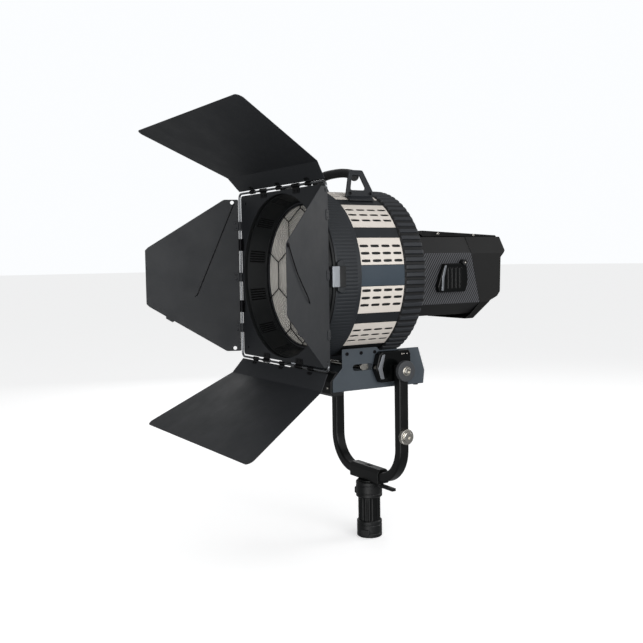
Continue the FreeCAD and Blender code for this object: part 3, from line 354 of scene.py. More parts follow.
def softened(node, name, finish, width):
    """A CAD node's own shape, its triangles joined into flat faces and its hard edges broken."""
    mesh = NODES[node].data.copy()
    mesh.name = name
    mesh.materials.clear()
    work = bmesh.new()
    work.from_mesh(mesh)
    bmesh.ops.remove_doubles(work, verts=work.verts, dist=0.002 * MM)
    bmesh.ops.dissolve_limit(work, angle_limit=math.radians(0.5), verts=work.verts, edges=work.edges)
    work.to_mesh(mesh)
    work.free()
    return show(name, mesh, NODES[node]["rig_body"], finish, (node,), bevel=width)


def pierced(piece, cutters):
    """Takes closed meshes away from a piece and keeps the result as its mesh."""
    tool = bpy.data.objects.new("cutter", mesh_of("cutter", cutters))
    bpy.context.scene.collection.objects.link(tool)
    piercing = piece.modifiers.new("pierce", "BOOLEAN")
    piercing.operation = "DIFFERENCE"
    piercing.solver = "EXACT"
    piercing.object = tool
    piece.modifiers.move(len(piece.modifiers) - 1, 0)
    others = [entry for entry in piece.modifiers if entry.name != "pierce"]
    for entry in others:
        entry.show_viewport = False
    bpy.context.view_layer.update()
    ready = piece.evaluated_get(bpy.context.evaluated_depsgraph_get())
    mesh = bpy.data.meshes.new_from_object(ready)
    for entry in others:
        entry.show_viewport = True
    piece.modifiers.remove(piercing)
    piece.data = mesh
    bpy.data.objects.remove(tool)
    return piece


def dress(finish, *nodes):
    """Gives carried-over CAD nodes their finish."""
    for name in nodes:
        node = NODES[name]
        if not node.material_slots:
            node.data.materials.append(finish)
        for holder in node.material_slots:
            holder.material = finish


# ---------------------------------------------------------------- finishes

def linear(code):
    """An sRGB hex colour as linear red, green, blue and a full alpha."""
    parts = [int(code[digit:digit + 2], 16) / 255 for digit in (1, 3, 5)]
    return [part / 12.92 if part <= 0.04045 else ((part + 0.055) / 1.055) ** 2.4 for part in parts] + [1.0]


def add(tree, kind, inputs=None, **settings):
    """Adds one shader node: settings are its properties, inputs its values or the sockets that feed it."""
    made = tree.nodes.new("ShaderNode" + kind)
    for key, value in settings.items():
        setattr(made, key, value)
    for key, value in (inputs or {}).items():
        if isinstance(value, bpy.types.NodeSocket):
            tree.links.new(value, made.inputs[key])
        else:
            made.inputs[key].default_value = value
    return made


def start(name, **shader):
    """A new material's tree, its Principled shader with fixed socket values, and the Object coordinates."""
    material = bpy.data.materials.new(name)
    material.use_nodes = True
    tree = material.node_tree
    surface = tree.nodes["Principled BSDF"]
    for key, value in shader.items():
        surface.inputs[key.replace("_", " ")].default_value = value
    return material, tree, surface, add(tree, "TexCoord").outputs["Object"]


def blend(tree, share, first, second):
    """A colour between two, by a share that another socket gives."""
    mix = add(tree, "Mix", data_type="RGBA")
    tree.links.new(share, mix.inputs["Factor"])
    for socket, colour in (("A", first), ("B", second)):
        target = [entry for entry in mix.inputs if entry.name == socket and entry.type == "RGBA"][0]
        if isinstance(colour, bpy.types.NodeSocket):
            tree.links.new(colour, target)
        else:
            target.default_value = linear(colour)
    return [entry for entry in mix.outputs if entry.type == "RGBA"][0]


def off_axis(tree, place, near, far):
    """How far a point is from the optical axis, as a share of the way from one radius to another."""
    part = add(tree, "SeparateXYZ", {0: place})
    height = add(tree, "Math", {0: part.outputs["Z"], 1: AXIS_Z * MM}, operation="SUBTRACT")
    flat = add(tree, "CombineXYZ", {"X": part.outputs["X"], "Z": height.outputs[0]})
    length = add(tree, "VectorMath", {0: flat.outputs["Vector"]}, operation="LENGTH")
    share = add(tree, "MapRange", {"Value": length.outputs["Value"], "From Min": near * MM,
                                   "From Max": far * MM})
    return share.outputs["Result"]


def coated(name, colour, shade, rubbed, grit=1.6, relief=0.05, gloss=(0.38, 0.5), edge=0.8, wear=0.35,
           sheen=0.3, grooves=None):
    """A paint or moulding: slow change between two shades, a fine grit, and lighter rubbed edges.

    grit is the size of a grain and relief its height, edge the radius to which corners look broken, and
    gloss the lowest and highest roughness.  Grains under about 1.5 mm would not show, so grit is drawn no
    finer.  grooves gives the radii of the floor and the crown of ribs round the optical axis; towards the
    floor the colour blends to near black, as painted shade in the grooves.
    """
    material, tree, surface, place = start(name, Specular_IOR_Level=sheen)
    slow = add(tree, "TexNoise", {"Vector": place, "Scale": 1 / (70 * MM), "Detail": 4.0, "Roughness": 0.6})
    fine = add(tree, "TexNoise", {"Vector": place, "Scale": 1 / (grit * MM), "Detail": 2.0})
    corner = add(tree, "Bevel", {"Radius": edge * MM}, samples=4)
    flat = add(tree, "NewGeometry").outputs["Normal"]
    across = add(tree, "VectorMath", {0: corner.outputs["Normal"], 1: flat}, operation="DOT_PRODUCT")
    rim = add(tree, "MapRange", {"Value": across.outputs["Value"], "From Min": 0.995, "From Max": 0.86})
    worn = add(tree, "Math", {0: rim.outputs["Result"], 1: slow.outputs["Fac"]}, operation="MULTIPLY")
    share = add(tree, "Math", {0: worn.outputs["Value"], 1: wear}, operation="MULTIPLY", use_clamp=True)
    base = blend(tree, share.outputs["Value"], blend(tree, slow.outputs["Fac"], colour, shade), rubbed)
    # painted shade: with grooves given, the rib floors blend to near black (#050505) and the crowns keep the
    # coat
    if grooves:
        base = blend(tree, off_axis(tree, place, *grooves), "#050505", base)
    tree.links.new(base, surface.inputs["Base Color"])
    rough = add(tree, "MapRange", {"Value": slow.outputs["Fac"], "From Min": 0.3, "From Max": 0.7,
                                   "To Min": gloss[0], "To Max": gloss[1]})
    tree.links.new(rough.outputs["Result"], surface.inputs["Roughness"])
    grain = add(tree, "Bump", {"Height": fine.outputs["Fac"], "Distance": relief * MM,
                               "Normal": corner.outputs["Normal"]})
    tree.links.new(grain.outputs["Normal"], surface.inputs["Normal"])
    return material


def metal(name, colour, shade, streak=(1, 1, 1), gloss=(0.2, 0.35), line=0.6):
    """Bare metal: fine lines in the direction that streak stretches, which break up its reflection.

    line is their width.  Corners look broken to a radius of 0.4 mm, and the lines are 0.01 mm deep.
    """
    material, tree, surface, place = start(name, Metallic=1.0)
    stretch = add(tree, "Mapping", {"Vector": place, "Scale": [part / (line * MM) for part in streak]})
    lines = add(tree, "TexNoise", {"Vector": stretch.outputs["Vector"], "Scale": 1.0, "Detail": 3.0})
    tree.links.new(blend(tree, lines.outputs["Fac"], colour, shade), surface.inputs["Base Color"])
    rough = add(tree, "MapRange", {"Value": lines.outputs["Fac"], "To Min": gloss[0], "To Max": gloss[1]})
    tree.links.new(rough.outputs["Result"], surface.inputs["Roughness"])
    corner = add(tree, "Bevel", {"Radius": 0.4 * MM}, samples=4)
    cut = add(tree, "Bump", {"Height": lines.outputs["Fac"], "Distance": 0.01 * MM,
                             "Normal": corner.outputs["Normal"]})
    tree.links.new(cut.outputs["Normal"], surface.inputs["Normal"])
    return material


# Powder coat on sheet aluminium: near black with a soft broad sheen and a fine orange-peel grain.
DOOR_COAT = coated("powder_coated_sheet", "#1d1f22", "#242629", "#47494d", relief=0.06, gloss=(0.48, 0.6))
# The same coat on the cradle is a cooler slate grey.
CRADLE_COAT = coated("slate_powder_coat", "#353b41", "#3d444a", "#666c72", relief=0.05, gloss=(0.36, 0.48))
# Coated cast rings of the drum: graphite grey, a little smoother than the sheet.
RING_COAT = coated("graphite_cast_coat", "#14171a", "#1a1d21", "#3c4045", relief=0.05, gloss=(0.36, 0.5))
# The nose ring's fine ribs get painted shade: their grooves blend to near black towards the floor.
NOSE_COAT = coated("ribbed_graphite_coat", "#1a1d20", "#202327", "#3a3e43", relief=0.05, gloss=(0.4, 0.52),
                   grooves=(211.4, 212.6))
# Cream stove enamel on the pierced panels: clean, only slightly uneven, satin.
CREAM_ENAMEL = coated("cream_stove_enamel", "#bdb6ae", "#c6c0b9", "#d8d3cd", grit=2.2, relief=0.03,
                      gloss=(0.38, 0.5), wear=0.15)
# Blue-grey enamel of the plain badge plates.
BADGE_ENAMEL = coated("blue_grey_enamel", "#2b343c", "#323c45", "#5b6670", relief=0.03, gloss=(0.34, 0.46))
# Hard rubber of the zoom ring: matt, with dusty lighter rib crowns and painted shade darkening the grooves
# towards their floors.
ZOOM_RUBBER = coated("ribbed_hard_rubber", "#1e2023", "#26282c", "#46494e", grit=1.8, relief=0.08,
                     gloss=(0.46, 0.6), edge=1.6, wear=0.7, grooves=(210.2, 214.6))
# Soft rubber of the carry handle: darkest and dullest.
GRIP_RUBBER = coated("soft_grip_rubber", "#090a0a", "#0f1011", "#222324", grit=2.0, relief=0.1,
                     gloss=(0.36, 0.5))
# Satin black tube of the yoke and the socket: smooth paint with a clear highlight along each corner.
YOKE_PAINT = coated("satin_black_paint", "#050606", "#080909", "#1c1d1e", grit=2.4, relief=0.02,
                    gloss=(0.26, 0.38), sheen=0.26)
# The stand socket is the same black with a glossier coat, so that its flutes draw thin bright lines.
SOCKET_GLOSS = coated("gloss_black_paint", "#040505", "#070808", "#1a1b1c", grit=3.0, relief=0.01,
                      gloss=(0.16, 0.26), sheen=0.22)
# Moulded glass-filled plastic of small knobs and collars: black, slight pebble.
PEBBLE_PLASTIC = coated("pebbled_black_plastic", "#090a0a", "#0f1011", "#27292b", grit=1.5, relief=0.07,
                        gloss=(0.3, 0.46))
# Matt charcoal plastic of the friction discs.
DISC_PLASTIC = coated("matt_charcoal_plastic", "#303134", "#383a3c", "#585a5d", grit=1.5, relief=0.1,
                      gloss=(0.5, 0.62))
# Polished black plastic of the docks: a clear, dark reflection, so its bevels catch the light.
GLOSS_PLASTIC = coated("polished_black_plastic", "#030404", "#060707", "#18191b", grit=3.0, relief=0.01,
                       gloss=(0.1, 0.2), edge=1.2, sheen=0.22)
# Flat black of everything that must not reflect inside the drum.
BAFFLE_BLACK = coated("flat_baffle_black", "#0e1011", "#131516", "#2b2d2f", grit=1.8, relief=0.06,
                      gloss=(0.44, 0.6))
# Painted shade: near-black strips laid on the floors of the baffle grooves.
GROOVE_SHADE_BLACK = coated("painted_groove_shade", "#020202", "#050505", "#0a0a0a", gloss=(0.7, 0.8), sheen=0.1)
# Grey paint of the lens ring.
LENS_RING_PAINT = coated("lens_ring_grey", "#2c2d30", "#38393c", "#5e6064", relief=0.04, gloss=(0.34, 0.48))
# Etched light alloy of the ears and the cam sleeve: grey, brushed along the lamp.
EAR_ALLOY = metal("brushed_light_alloy", "#797c80", "#92959a", streak=(6, 1, 6), gloss=(0.34, 0.48))
# Painted highlight: light grey metal strips on the dock bevels, standing in for the light the glossy black
# bevels reflect.
BEVEL_HIGHLIGHT_METAL = metal("bevel_highlight_grey", "#7d8084", "#94979c", streak=(6, 6, 1), gloss=(0.3, 0.44))
# Bright nickel plate on screws, bolts and the thumb screw.
BRIGHT_NICKEL = metal("bright_nickel_plate", "#b3b0a9", "#c6c2bb", gloss=(0.14, 0.24), line=6.0)
# Drawn stainless wire of the barn-door loop.
LOOP_STEEL = metal("drawn_stainless_wire", "#6c6e70", "#85878a", gloss=(0.2, 0.3), line=14.0)
# Black oxide on the wires, rivets and dark screws: almost black, dry gleam.
BLACK_OXIDE = metal("black_oxide_steel", "#131314", "#1f1f21", gloss=(0.35, 0.5), line=1.5)
# Extruded aluminium of the heat sink.
FIN_ALLOY = metal("extruded_aluminium", "#a8aaad", "#c4c6c8", streak=(1, 8, 1), gloss=(0.3, 0.45))
# Copper of the heat pipes.
PIPE_COPPER = metal("sintered_copper", "#b06a43", "#c98560", gloss=(0.25, 0.4))
# Polished reflector.
REFLECTOR_ALLOY = metal("polished_reflector", "#dcdddf", "#f0f1f2", gloss=(0.04, 0.1), line=3.0)
# Plain moulded charcoal of the tail shroud, warmer and duller than the rings.
HEAD_SHELL_PLAIN = coated("moulded_charcoal_plastic", "#0f0f0f", "#151515", "#2b2b2c", grit=1.5, relief=0.08,
                          gloss=(0.5, 0.64), sheen=0.2)
# Green circuit board under a clear coat.
BOARD_GREEN = coated("coated_circuit_board", "#0f3d22", "#17552f", "#2f7a4c", gloss=(0.25, 0.4), relief=0.02)


def head_shell_finish():
    """Charcoal moulded plastic; on the two flat side faces a weave of fine diagonal lines is moulded in.

    The lines climb towards the rear at about 57 degrees.  They are 5 mm apart or less, which would blur to an
    even grey, so they are drawn 6.2 mm apart.
    """
    material, tree, surface, place = start("woven_charcoal_plastic", Roughness=0.46, Specular_IOR_Level=0.3)
    side = span("head_case")[1][0] - 0.6
    part = add(tree, "SeparateXYZ", {0: place})
    rise, pitch = math.radians(57), 6.2
    climb = add(tree, "Math", {0: part.outputs["Y"], 1: math.sin(rise) / (pitch * MM)}, operation="MULTIPLY")
    fall = add(tree, "Math", {0: part.outputs["Z"], 1: -math.cos(rise) / (pitch * MM), 2: climb.outputs[0]},
               operation="MULTIPLY_ADD")
    wave = add(tree, "Math", {0: fall.outputs[0], 1: TAU}, operation="MULTIPLY")
    crest = add(tree, "Math", {0: wave.outputs[0]}, operation="SINE")
    line = add(tree, "MapRange", {"Value": crest.outputs[0], "From Min": -0.2, "From Max": 0.75})
    reach = add(tree, "Math", {0: part.outputs["X"]}, operation="ABSOLUTE")
    on_side = add(tree, "Math", {0: reach.outputs[0], 1: side * MM}, operation="GREATER_THAN")
    weave = add(tree, "Math", {0: line.outputs["Result"], 1: on_side.outputs[0]}, operation="MULTIPLY")
    slow = add(tree, "TexNoise", {"Vector": place, "Scale": 1 / (60 * MM), "Detail": 4.0})
    fine = add(tree, "TexNoise", {"Vector": place, "Scale": 1 / (1.5 * MM), "Detail": 2.0})
    shell = blend(tree, slow.outputs["Fac"], "#0d0d0d", "#121213")
    tree.links.new(blend(tree, weave.outputs[0], shell, "#4e4f53"), surface.inputs["Base Color"])
    corner = add(tree, "Bevel", {"Radius": 0.8 * MM}, samples=4)
    height = add(tree, "Math", {0: weave.outputs[0], 1: 0.5, 2: fine.outputs["Fac"]},
                 operation="MULTIPLY_ADD")
    grain = add(tree, "Bump", {"Height": height.outputs[0], "Distance": 0.08 * MM,
                               "Normal": corner.outputs["Normal"]})
    tree.links.new(grain.outputs["Normal"], surface.inputs["Normal"])
    return material


def lens_finish():
    """Pressed borosilicate glass, lightly frosted: it passes some light and scatters the rest."""
    material, tree, surface, place = start("pressed_borosilicate", Roughness=0.2, IOR=1.5)
    surface.inputs["Transmission Weight"].default_value = 0.34
    slow = add(tree, "TexNoise", {"Vector": place, "Scale": 1 / (25 * MM), "Detail": 3.0})
    tree.links.new(blend(tree, slow.outputs["Fac"], "#c4c1bb", "#e2dfd9"), surface.inputs["Base Color"])
    wavy = add(tree, "Bump", {"Height": slow.outputs["Fac"], "Distance": 0.4 * MM})
    tree.links.new(wavy.outputs["Normal"], surface.inputs["Normal"])
    return material


def screen_finish():
    """Smoked acrylic over the display: black and mirror smooth, with faint dust."""
    material, tree, surface, place = start("smoked_acrylic", Roughness=0.06)
    dust = add(tree, "TexNoise", {"Vector": place, "Scale": 1 / (4 * MM), "Detail": 5.0})
    tree.links.new(blend(tree, dust.outputs["Fac"], "#060708", "#0d0f11"), surface.inputs["Base Color"])
    return material


def phosphor_finish():
    """Yellow phosphor disc of the LED array, a grid of dies 2.4 mm apart showing through."""
    material, tree, surface, place = start("led_phosphor", Roughness=0.4)
    dies = add(tree, "TexVoronoi", {"Vector": place, "Scale": 1 / (2.4 * MM), "Randomness": 0.0})
    tree.links.new(blend(tree, dies.outputs["Distance"], "#e8c53a", "#b58f1e"), surface.inputs["Base Color"])
    return material


HEAD_SHELL = head_shell_finish()
LENS_GLASS = lens_finish()
SCREEN = screen_finish()
PHOSPHOR = phosphor_finish()


# ---------------------------------------------------------------- small fastenings

def hex_screw(origin, direction, radius=4.5, height=2.0):
    """A cap screw: domed rim, flat top and a hexagon socket sunk into it."""
    socket = radius * 0.45
    stations = [(0, height * 0.35), (socket, height * 0.35, 6), (socket, height, 6), (radius * 0.82, height),
                (radius * 0.96, height * 0.86), (radius, height * 0.6), (radius, 0), (0, 0)]
    return lathe(stations, origin, direction, 24)


def rivet(origin, direction, radius=2.6):
    """A domed rivet head: quarter of an ellipse turned about its axis."""
    dome = [(radius * math.cos(step), radius * 0.45 * math.sin(step))
            for step in np.linspace(math.pi / 2, 0, 5)]
    return lathe(dome + [(0, 0)], origin, direction, 16)


# ---------------------------------------------------------------- barn doors

loop_low, loop_high = span("barndoor_loop")
plate_low, plate_high = span("barndoor_plate")
HINGE_Y = pivot("top_leaf_hinge")[1]
ROD = (loop_high[1] - loop_low[1]) / 2
LOOP_HALF = loop_high[0] - ROD
PLATE_HALF = LOOP_HALF - 2 * ROD
PLATE_OPENING = 203.0
TAB_PLACES, TAB_HALF = (-82.0, 82.0), 16.0


def make_plate():
    """Square sheet with a round opening, four corner screws and eight clips that grip the wire loop."""
    outline = dense(oblong(2 * PLATE_HALF, 2 * PLATE_HALF, 9.0), 12.0)
    sheet = slab(outline, plate_low[1], plate_high[1], 0.5, circle(PLATE_OPENING, 200))
    make("barndoor_sheet", [laid(sheet, (0, 0, AXIS_Z), X, Z, Y)], "doors", DOOR_COAT,
         ("barndoor_plate",))
    corner = rounded(np.array([(-1, 0, -1), (1, 0, -1), (1, 0, 1), (-1, 0, 1)]) * LOOP_HALF, 12.0, 8)
    make("barndoor_wire_loop", [bar(corner + [0, HINGE_Y, AXIS_Z], ROD, 16, closed=True)], "doors",
         LOOP_STEEL, ("barndoor_loop",))
    clips = []
    grip = ROD + 2.0
    for turn in range(4):
        carry = Matrix.Translation((0, 0, AXIS_Z)) @ Matrix.Rotation(turn * TAU / 4, 4, "Y")
        for along in TAB_PLACES:
            tongue = slab(oblong(20, 2 * TAB_HALF, 3.0), 0, 1.4, 0.3)
            hub = [(0, -TAB_HALF), (grip - 1, -TAB_HALF), (grip, 1 - TAB_HALF), (grip, TAB_HALF - 1),
                   (grip - 1, TAB_HALF), (0, TAB_HALF)]
            clips.append(moved(laid(tongue, (PLATE_HALF - 3, plate_low[1], along), X, Z, -Y), carry))
            clips.append(moved(lathe(hub, (LOOP_HALF, HINGE_Y, along), Z, 20), carry))
            for height in (-8, 8):
                clips.append(moved(rivet((PLATE_HALF - 7, plate_low[1] - 1.4, along + height), -Y), carry))
    make("loop_clips", clips, "doors", BLACK_OXIDE)
    screws = [rivet((side_x * 184, plate_low[1], AXIS_Z + side_z * 190), -Y, 3.2)
              for side_x in (-1, 1) for side_z in (-1, 1)]
    make("plate_screws", screws, "doors", BLACK_OXIDE)


LEAF_THICK, LEAF_OFFSET = 1.5, 3.5
BARREL_PLACES = (-140.0, 0.0, 140.0)
SIDE_BARREL_PLACES = (-140.0, -4.0, 132.0)
TOP_OPEN, BOTTOM_OPEN, RIGHT_OPEN, LEFT_OPEN = 117.6, 119.5, 128.0, 113.0


def strap_sheets(places, slope, length=13.0):
    """Hinge straps in a leaf's own frame: a barrel round the rod, a tongue on the leaf and two rivets.

    The leaf's frame has X along the hinge, the leaf hanging towards -Z and its outer face towards -Y.
    """
    half = 12.0
    down = np.array([0, -math.sin(slope), -math.cos(slope)])
    out = np.array([0, -math.cos(slope), math.sin(slope)])
    barrel = ROD + 2.0
    hub = [(0, -half), (barrel - 1, -half), (barrel, 1 - half), (barrel, half - 1), (barrel - 1, half),
           (0, half)]
    sheets = []
    for along in places:
        sheets.append(lathe(hub, (along, 0, 0), X, 20))
        for face, turn in ((LEAF_OFFSET - 0.1, -1), (LEAF_OFFSET + LEAF_THICK + 0.1, 1)):
            tongue = slab(oblong(2 * half, length, 6.0), 0, 1.3, 0.35)
            middle = np.array([along, 0, 0]) - Y * face + down * (length / 2 + 1)
            sheets.append(laid(tongue, middle, X, down, out * turn))
            for side in (-0.5, 0.5):
                sheets.append(rivet(middle + X * side * half + down * 2 + out * turn * 1.3, out * turn))
    return sheets


def open_leaf(joint, degrees, spin, closed):
    """The matrix from a leaf's own frame to its open place on the loop; closed turns it to face its side."""
    hinge = Vector(pivot(joint)) if spin == "X" else Vector((pivot(joint)[0], HINGE_Y, AXIS_Z))
    return Matrix.Translation(hinge) @ Matrix.Rotation(math.radians(degrees), 4, spin) @ closed


def make_wide_leaf(name, node, body, place):
    """Top or bottom leaf: a tapered sheet with a fold near its hinge.

    Its middle line leaves the hinge along the flange, turns through the fold in an arc and runs straight; its
    half width is read along that line, and at the tip it follows a quarter circle.
    """
    slope, flange, reach, fold = math.radians(24.0), 48.7, 255.0, 7.0
    root_half, bend_half, tip_half, tip_corner = 212.0, 227.0, 290.0, 16.0
    middle = -LEAF_OFFSET - LEAF_THICK / 2
    root = np.array([middle, -LEAF_OFFSET])
    bend = np.array([middle, 0]) - flange * np.array([math.sin(slope), math.cos(slope)])
    tip = bend + [0, -reach]
    body_line = rounded([root, bend, tip], fold, 7, closed=False)[:-1]
    corner_steps = 8
    corner = tip[1] + tip_corner * (1 - np.sin(np.linspace(0, math.pi / 2, corner_steps)))
    line = np.vstack([body_line, np.stack([np.full(corner_steps, tip[0]), corner], -1)])
    drop = -line[:, 1]
    half = np.interp(drop, [0, -bend[1], -tip[1] - tip_corner], [root_half, bend_half, tip_half])
    into = np.clip((drop + tip[1] + tip_corner) / tip_corner, 0, 1)
    half = half - tip_corner * (1 - np.sqrt(1 - into ** 2))
    along = unit(np.gradient(line, axis=0))
    normal = np.stack([along[:, 1], -along[:, 0]], -1)
    sheet = ribbon(half, line, normal, LEAF_THICK, across=9)
    make(name, [moved(sheet, place)], body, DOOR_COAT, (node,), bevel=0.35)
    straps = [moved(part, place) for part in strap_sheets(BARREL_PLACES, slope)]
    make(name + "_straps", straps, body, BLACK_OXIDE)


def make_side_leaf(name, node, body, place, up):
    """Side leaf: a trapezoid sheet with pierced corners, a stay wire through it and a small tip tab.

    up is 1 where the leaf's own X points up on the lamp and -1 where it points down.
    """
    root, tip, foot, shoulder, reach = 203.0, 73.0, 3.5, 42.0, 252.0
    outline = rounded([(-root, foot), (root, foot), (root, shoulder), (tip + 6, reach - 8), (tip - 2, reach),
                       (2 - tip, reach), (-tip - 6, reach - 8), (-root, shoulder)],
                       [3, 3, 14, 6, 4, 4, 6, 14], 5)
    sheet = slab(dense(outline, 14.0), LEAF_OFFSET, LEAF_OFFSET + LEAF_THICK, 0.3)
    leaf = make(name, [moved(laid(sheet, (0, 0, 0), X, -Z, -Y), place)], body, DOOR_COAT,
                (node,))
    hole = [(0, -9), (5, -9), (5, 3), (0, 3)]
    pierced(leaf, [moved(lathe(hole, (side * 195, 0, -20), Y, 28), place) for side in (-1, 1)])
    straps = [moved(part, place) for part in strap_sheets(SIDE_BARREL_PLACES, 0.0, 18.0)]
    make(name + "_straps", straps, body, DOOR_COAT)
    wire_radius = 1.2
    outer = LEAF_OFFSET + LEAF_THICK + wire_radius + 0.2
    inner = LEAF_OFFSET - wire_radius - 0.2
    # the far end lies close to the sheet, so that the other side leaf can close over it
    wire = [(70, -outer - 0.5, -245), (57, -outer - 1, -236), (37, -outer - 1.5, -223),
            (13, -outer - 1.5, -203),
            (-14, -outer - 2.5, -176), (-39, -outer - 3, -148), (-55, -outer + 1, -126),
            (-50, -inner + 0.5, -118), (190, -inner, -16)]
    wire = np.array(wire) * [up, 1, 1]
    stay = bar(rounded(wire, 9.0, 5, closed=False), wire_radius, 10)
    far_end, near_end = (70 * up, -outer, -245), (190 * up, -inner, -16)
    eye = circle(4.0, 20, (far_end[0], far_end[2]))
    eyelet = bar(np.stack([eye[:, 0], np.full(len(eye), -outer), eye[:, 1]], -1), 1.1, 8, closed=True)
    parts = [stay, eyelet, rivet(far_end, -Y, 3.0), rivet(near_end, Y)]
    make(name + "_stay_wire", [moved(part, place) for part in parts], body, BLACK_OXIDE)
    tab = slab(rounded([(-14, 0), (14, 0), (10, 7), (-10, 7)], 1.5, 4), 0, 1.3, 0.3)
    tab = laid(tab, (-110 * up, -LEAF_OFFSET - LEAF_THICK - 0.1, -190), unit(np.array([0.52 * up, 0, -0.85])),
               unit(np.array([-0.85 * up, 0, -0.52])), -Y)
    make(name + "_tab", [moved(tab, place)], body, DOOR_COAT)


def make_doors():
    """Plate, loop and the four leaves in their open places."""
    make_plate()
    none, flip = Matrix.Identity(4), Matrix.Rotation(math.pi, 4, "Y")
    make_wide_leaf("door_top", "leaf_top", "top_leaf", open_leaf("top_leaf_hinge", -TOP_OPEN, "X", none))
    make_wide_leaf("door_bottom", "leaf_bottom", "bottom_leaf",
                   open_leaf("bottom_leaf_hinge", BOTTOM_OPEN, "X", flip))
    for name, node, body, joint, degrees, side in (
            ("door_right", "leaf_right", "right_leaf", "right_leaf_hinge", RIGHT_OPEN, 1),
            ("door_left", "leaf_left", "left_leaf", "left_leaf_hinge", -LEFT_OPEN, -1)):
        upright = Matrix.Rotation(side * math.pi / 2, 4, "Y")
        make_side_leaf(name, node, body, open_leaf(joint, degrees, "Z", upright), -side)
    dress(BAFFLE_BLACK, "barndoor_ring")


# ---------------------------------------------------------------- drum

PANEL_RADIUS = span("drum_shell")[1][0] + 3.0
panel_low, panel_high = span("vent_panels")
PANEL_FRONT, PANEL_REAR = panel_low[1], panel_high[1]
FIELD_EDGES = (6.79, 25.27, 32.87, 54.31, 61.90, 83.30)  # degrees where badge, panels and bars meet
FIELD_JOINT = 0.15
MIDDLE_ROWS = (14.5, 43.7, 72.6)  # degrees of each panel's middle row of slots
SHEET = 1.6
BAR_DROP = -0.8  # the bars lie this much below the panels


def make_front_ring():
    """Nose ring: fine axial ribs 9 mm apart between two smooth lips."""
    low, high = span("front_ring")
    outer = high[0]
    inner, bore = outer - 7.0, outer - 9.5
    ribs = 148

    def rib(angle):
        return np.abs(np.cos(angle * ribs / 2)) ** 0.6 - 1

    profile = [(bore, low[1] + 3.5, 0), (bore, low[1] + 0.5, 0), (bore + 0.5, low[1], 0),
               (outer - 3, low[1], 0),
               (outer - 1, low[1] + 0.8, 0), (outer, low[1] + 3, 0), (outer, low[1] + 5, 0),
               (outer, low[1] + 6, 0.9),
               (outer, high[1] - 11, 0.9), (outer, high[1] - 10, 0), (outer, high[1] - 1, 0),
               (outer - 1, high[1], 0), (inner, high[1], 0), (inner, low[1] + 3.5, 0)]
    make("nose_ring", [(spun(profile, ribs * 8, rib), True, True)], "lamp", NOSE_COAT,
         ("front_ring",))


def vent_field(first, last, middle_row):
    """One cream panel between two angles: three rows of four oblong slots, the middle row at its given angle.

    Each cell is ruled from its own rectangular border in to its slot.  A slot point lies on a slot-shaped
    outline round the segment that the border point is nearest to, so that neighbouring cells share their
    border points.
    """
    columns, slot_half, slot_radius, steps, pitch = 4, 9.0, 3.4, 7, 4.9
    width = (PANEL_REAR - PANEL_FRONT) / columns / 2
    share = np.linspace(-1, 1, steps + 1)[:-1]
    one = np.ones(steps)
    square = np.concatenate([np.stack([share, -one], -1), np.stack([one, share], -1),
                             np.stack([-share, one], -1), np.stack([-one, -share], -1)])
    blend_in = np.array([0, 0.55, 0.9, 1.0])[:, None, None]
    edges = np.radians([first, middle_row - pitch / 2, middle_row + pitch / 2, last]) * PANEL_RADIUS
    sheets = []
    for row in range(3):
        slot_at = math.radians(middle_row + (row - 1) * pitch) * PANEL_RADIUS
        low, high = edges[row] - slot_at, edges[row + 1] - slot_at
        border = np.stack([square[:, 0] * width, np.interp(square[:, 1], [-1, 0, 1], [low, 0, high])], -1)
        core = np.stack([square[:, 0] * slot_half, np.zeros(len(square))], -1)
        slot = core + slot_radius * unit(border - core)
        cell = border[None] * (1 - blend_in) + slot[None] * blend_in
        for column in range(columns):
            middle = np.array([PANEL_FRONT + width * (2 * column + 1), slot_at])
            flat = np.dstack([cell + middle, np.full(cell.shape[:2], -1.2)])
            sheets.append(wrapped((flat, False, True), PANEL_RADIUS))
    return sheets


def field_plate(first, last, proud, thick):
    """A plain plate between two angles on the drum: a ribbon bent round the axis."""
    arc = np.radians(np.linspace(first, last, 13)) * PANEL_RADIUS
    half = (PANEL_REAR - PANEL_FRONT) / 2
    centre = np.stack([arc, np.full(13, proud - thick / 2)], -1)
    strip, rows, columns = ribbon(np.full(13, half), centre, np.tile([0.0, 1.0], (13, 1)), thick)
    return wrapped((strip + [(PANEL_FRONT + PANEL_REAR) / 2, 0, 0], rows, columns), PANEL_RADIUS)


def make_drum_skin():
    """Cream panels, plain badge plates and dark bars, each on both sides of the drum."""
    edges = FIELD_EDGES
    fields = [(edges[2 * step], edges[2 * step + 1], row) for step, row in enumerate(MIDDLE_ROWS)]
    fields += [(-last, -first, -row) for first, last, row in fields[:2]]
    gaps = [(edges[1], edges[2]), (edges[3], edges[4]), (-edges[2], -edges[1])]
    cream, dark = [], []
    for first, last, middle_row in fields:
        panel = vent_field(first + FIELD_JOINT, last - FIELD_JOINT, middle_row)
        cream += panel + [mirrored(sheet) for sheet in panel]
    for first, last in gaps:
        strip = field_plate(first + FIELD_JOINT, last - FIELD_JOINT, BAR_DROP, SHEET)
        dark += [strip, mirrored(strip)]
    dark.append(field_plate(edges[-1] + FIELD_JOINT, 180 - edges[-1] - FIELD_JOINT, BAR_DROP, SHEET))
    make("pierced_panels", cream, "lamp", CREAM_ENAMEL, ("vent_panels",), bevel=0.3,
         wall=SHEET)
    badge = field_plate(FIELD_JOINT - edges[0], edges[0] - FIELD_JOINT, 0.1, SHEET)
    make("plain_badges", [badge, mirrored(badge)], "lamp", BADGE_ENAMEL, ("badge_plates",),
         bevel=0.3)
    make("drum_bars", dark, "lamp", RING_COAT, ("joint_bars",), bevel=0.3)


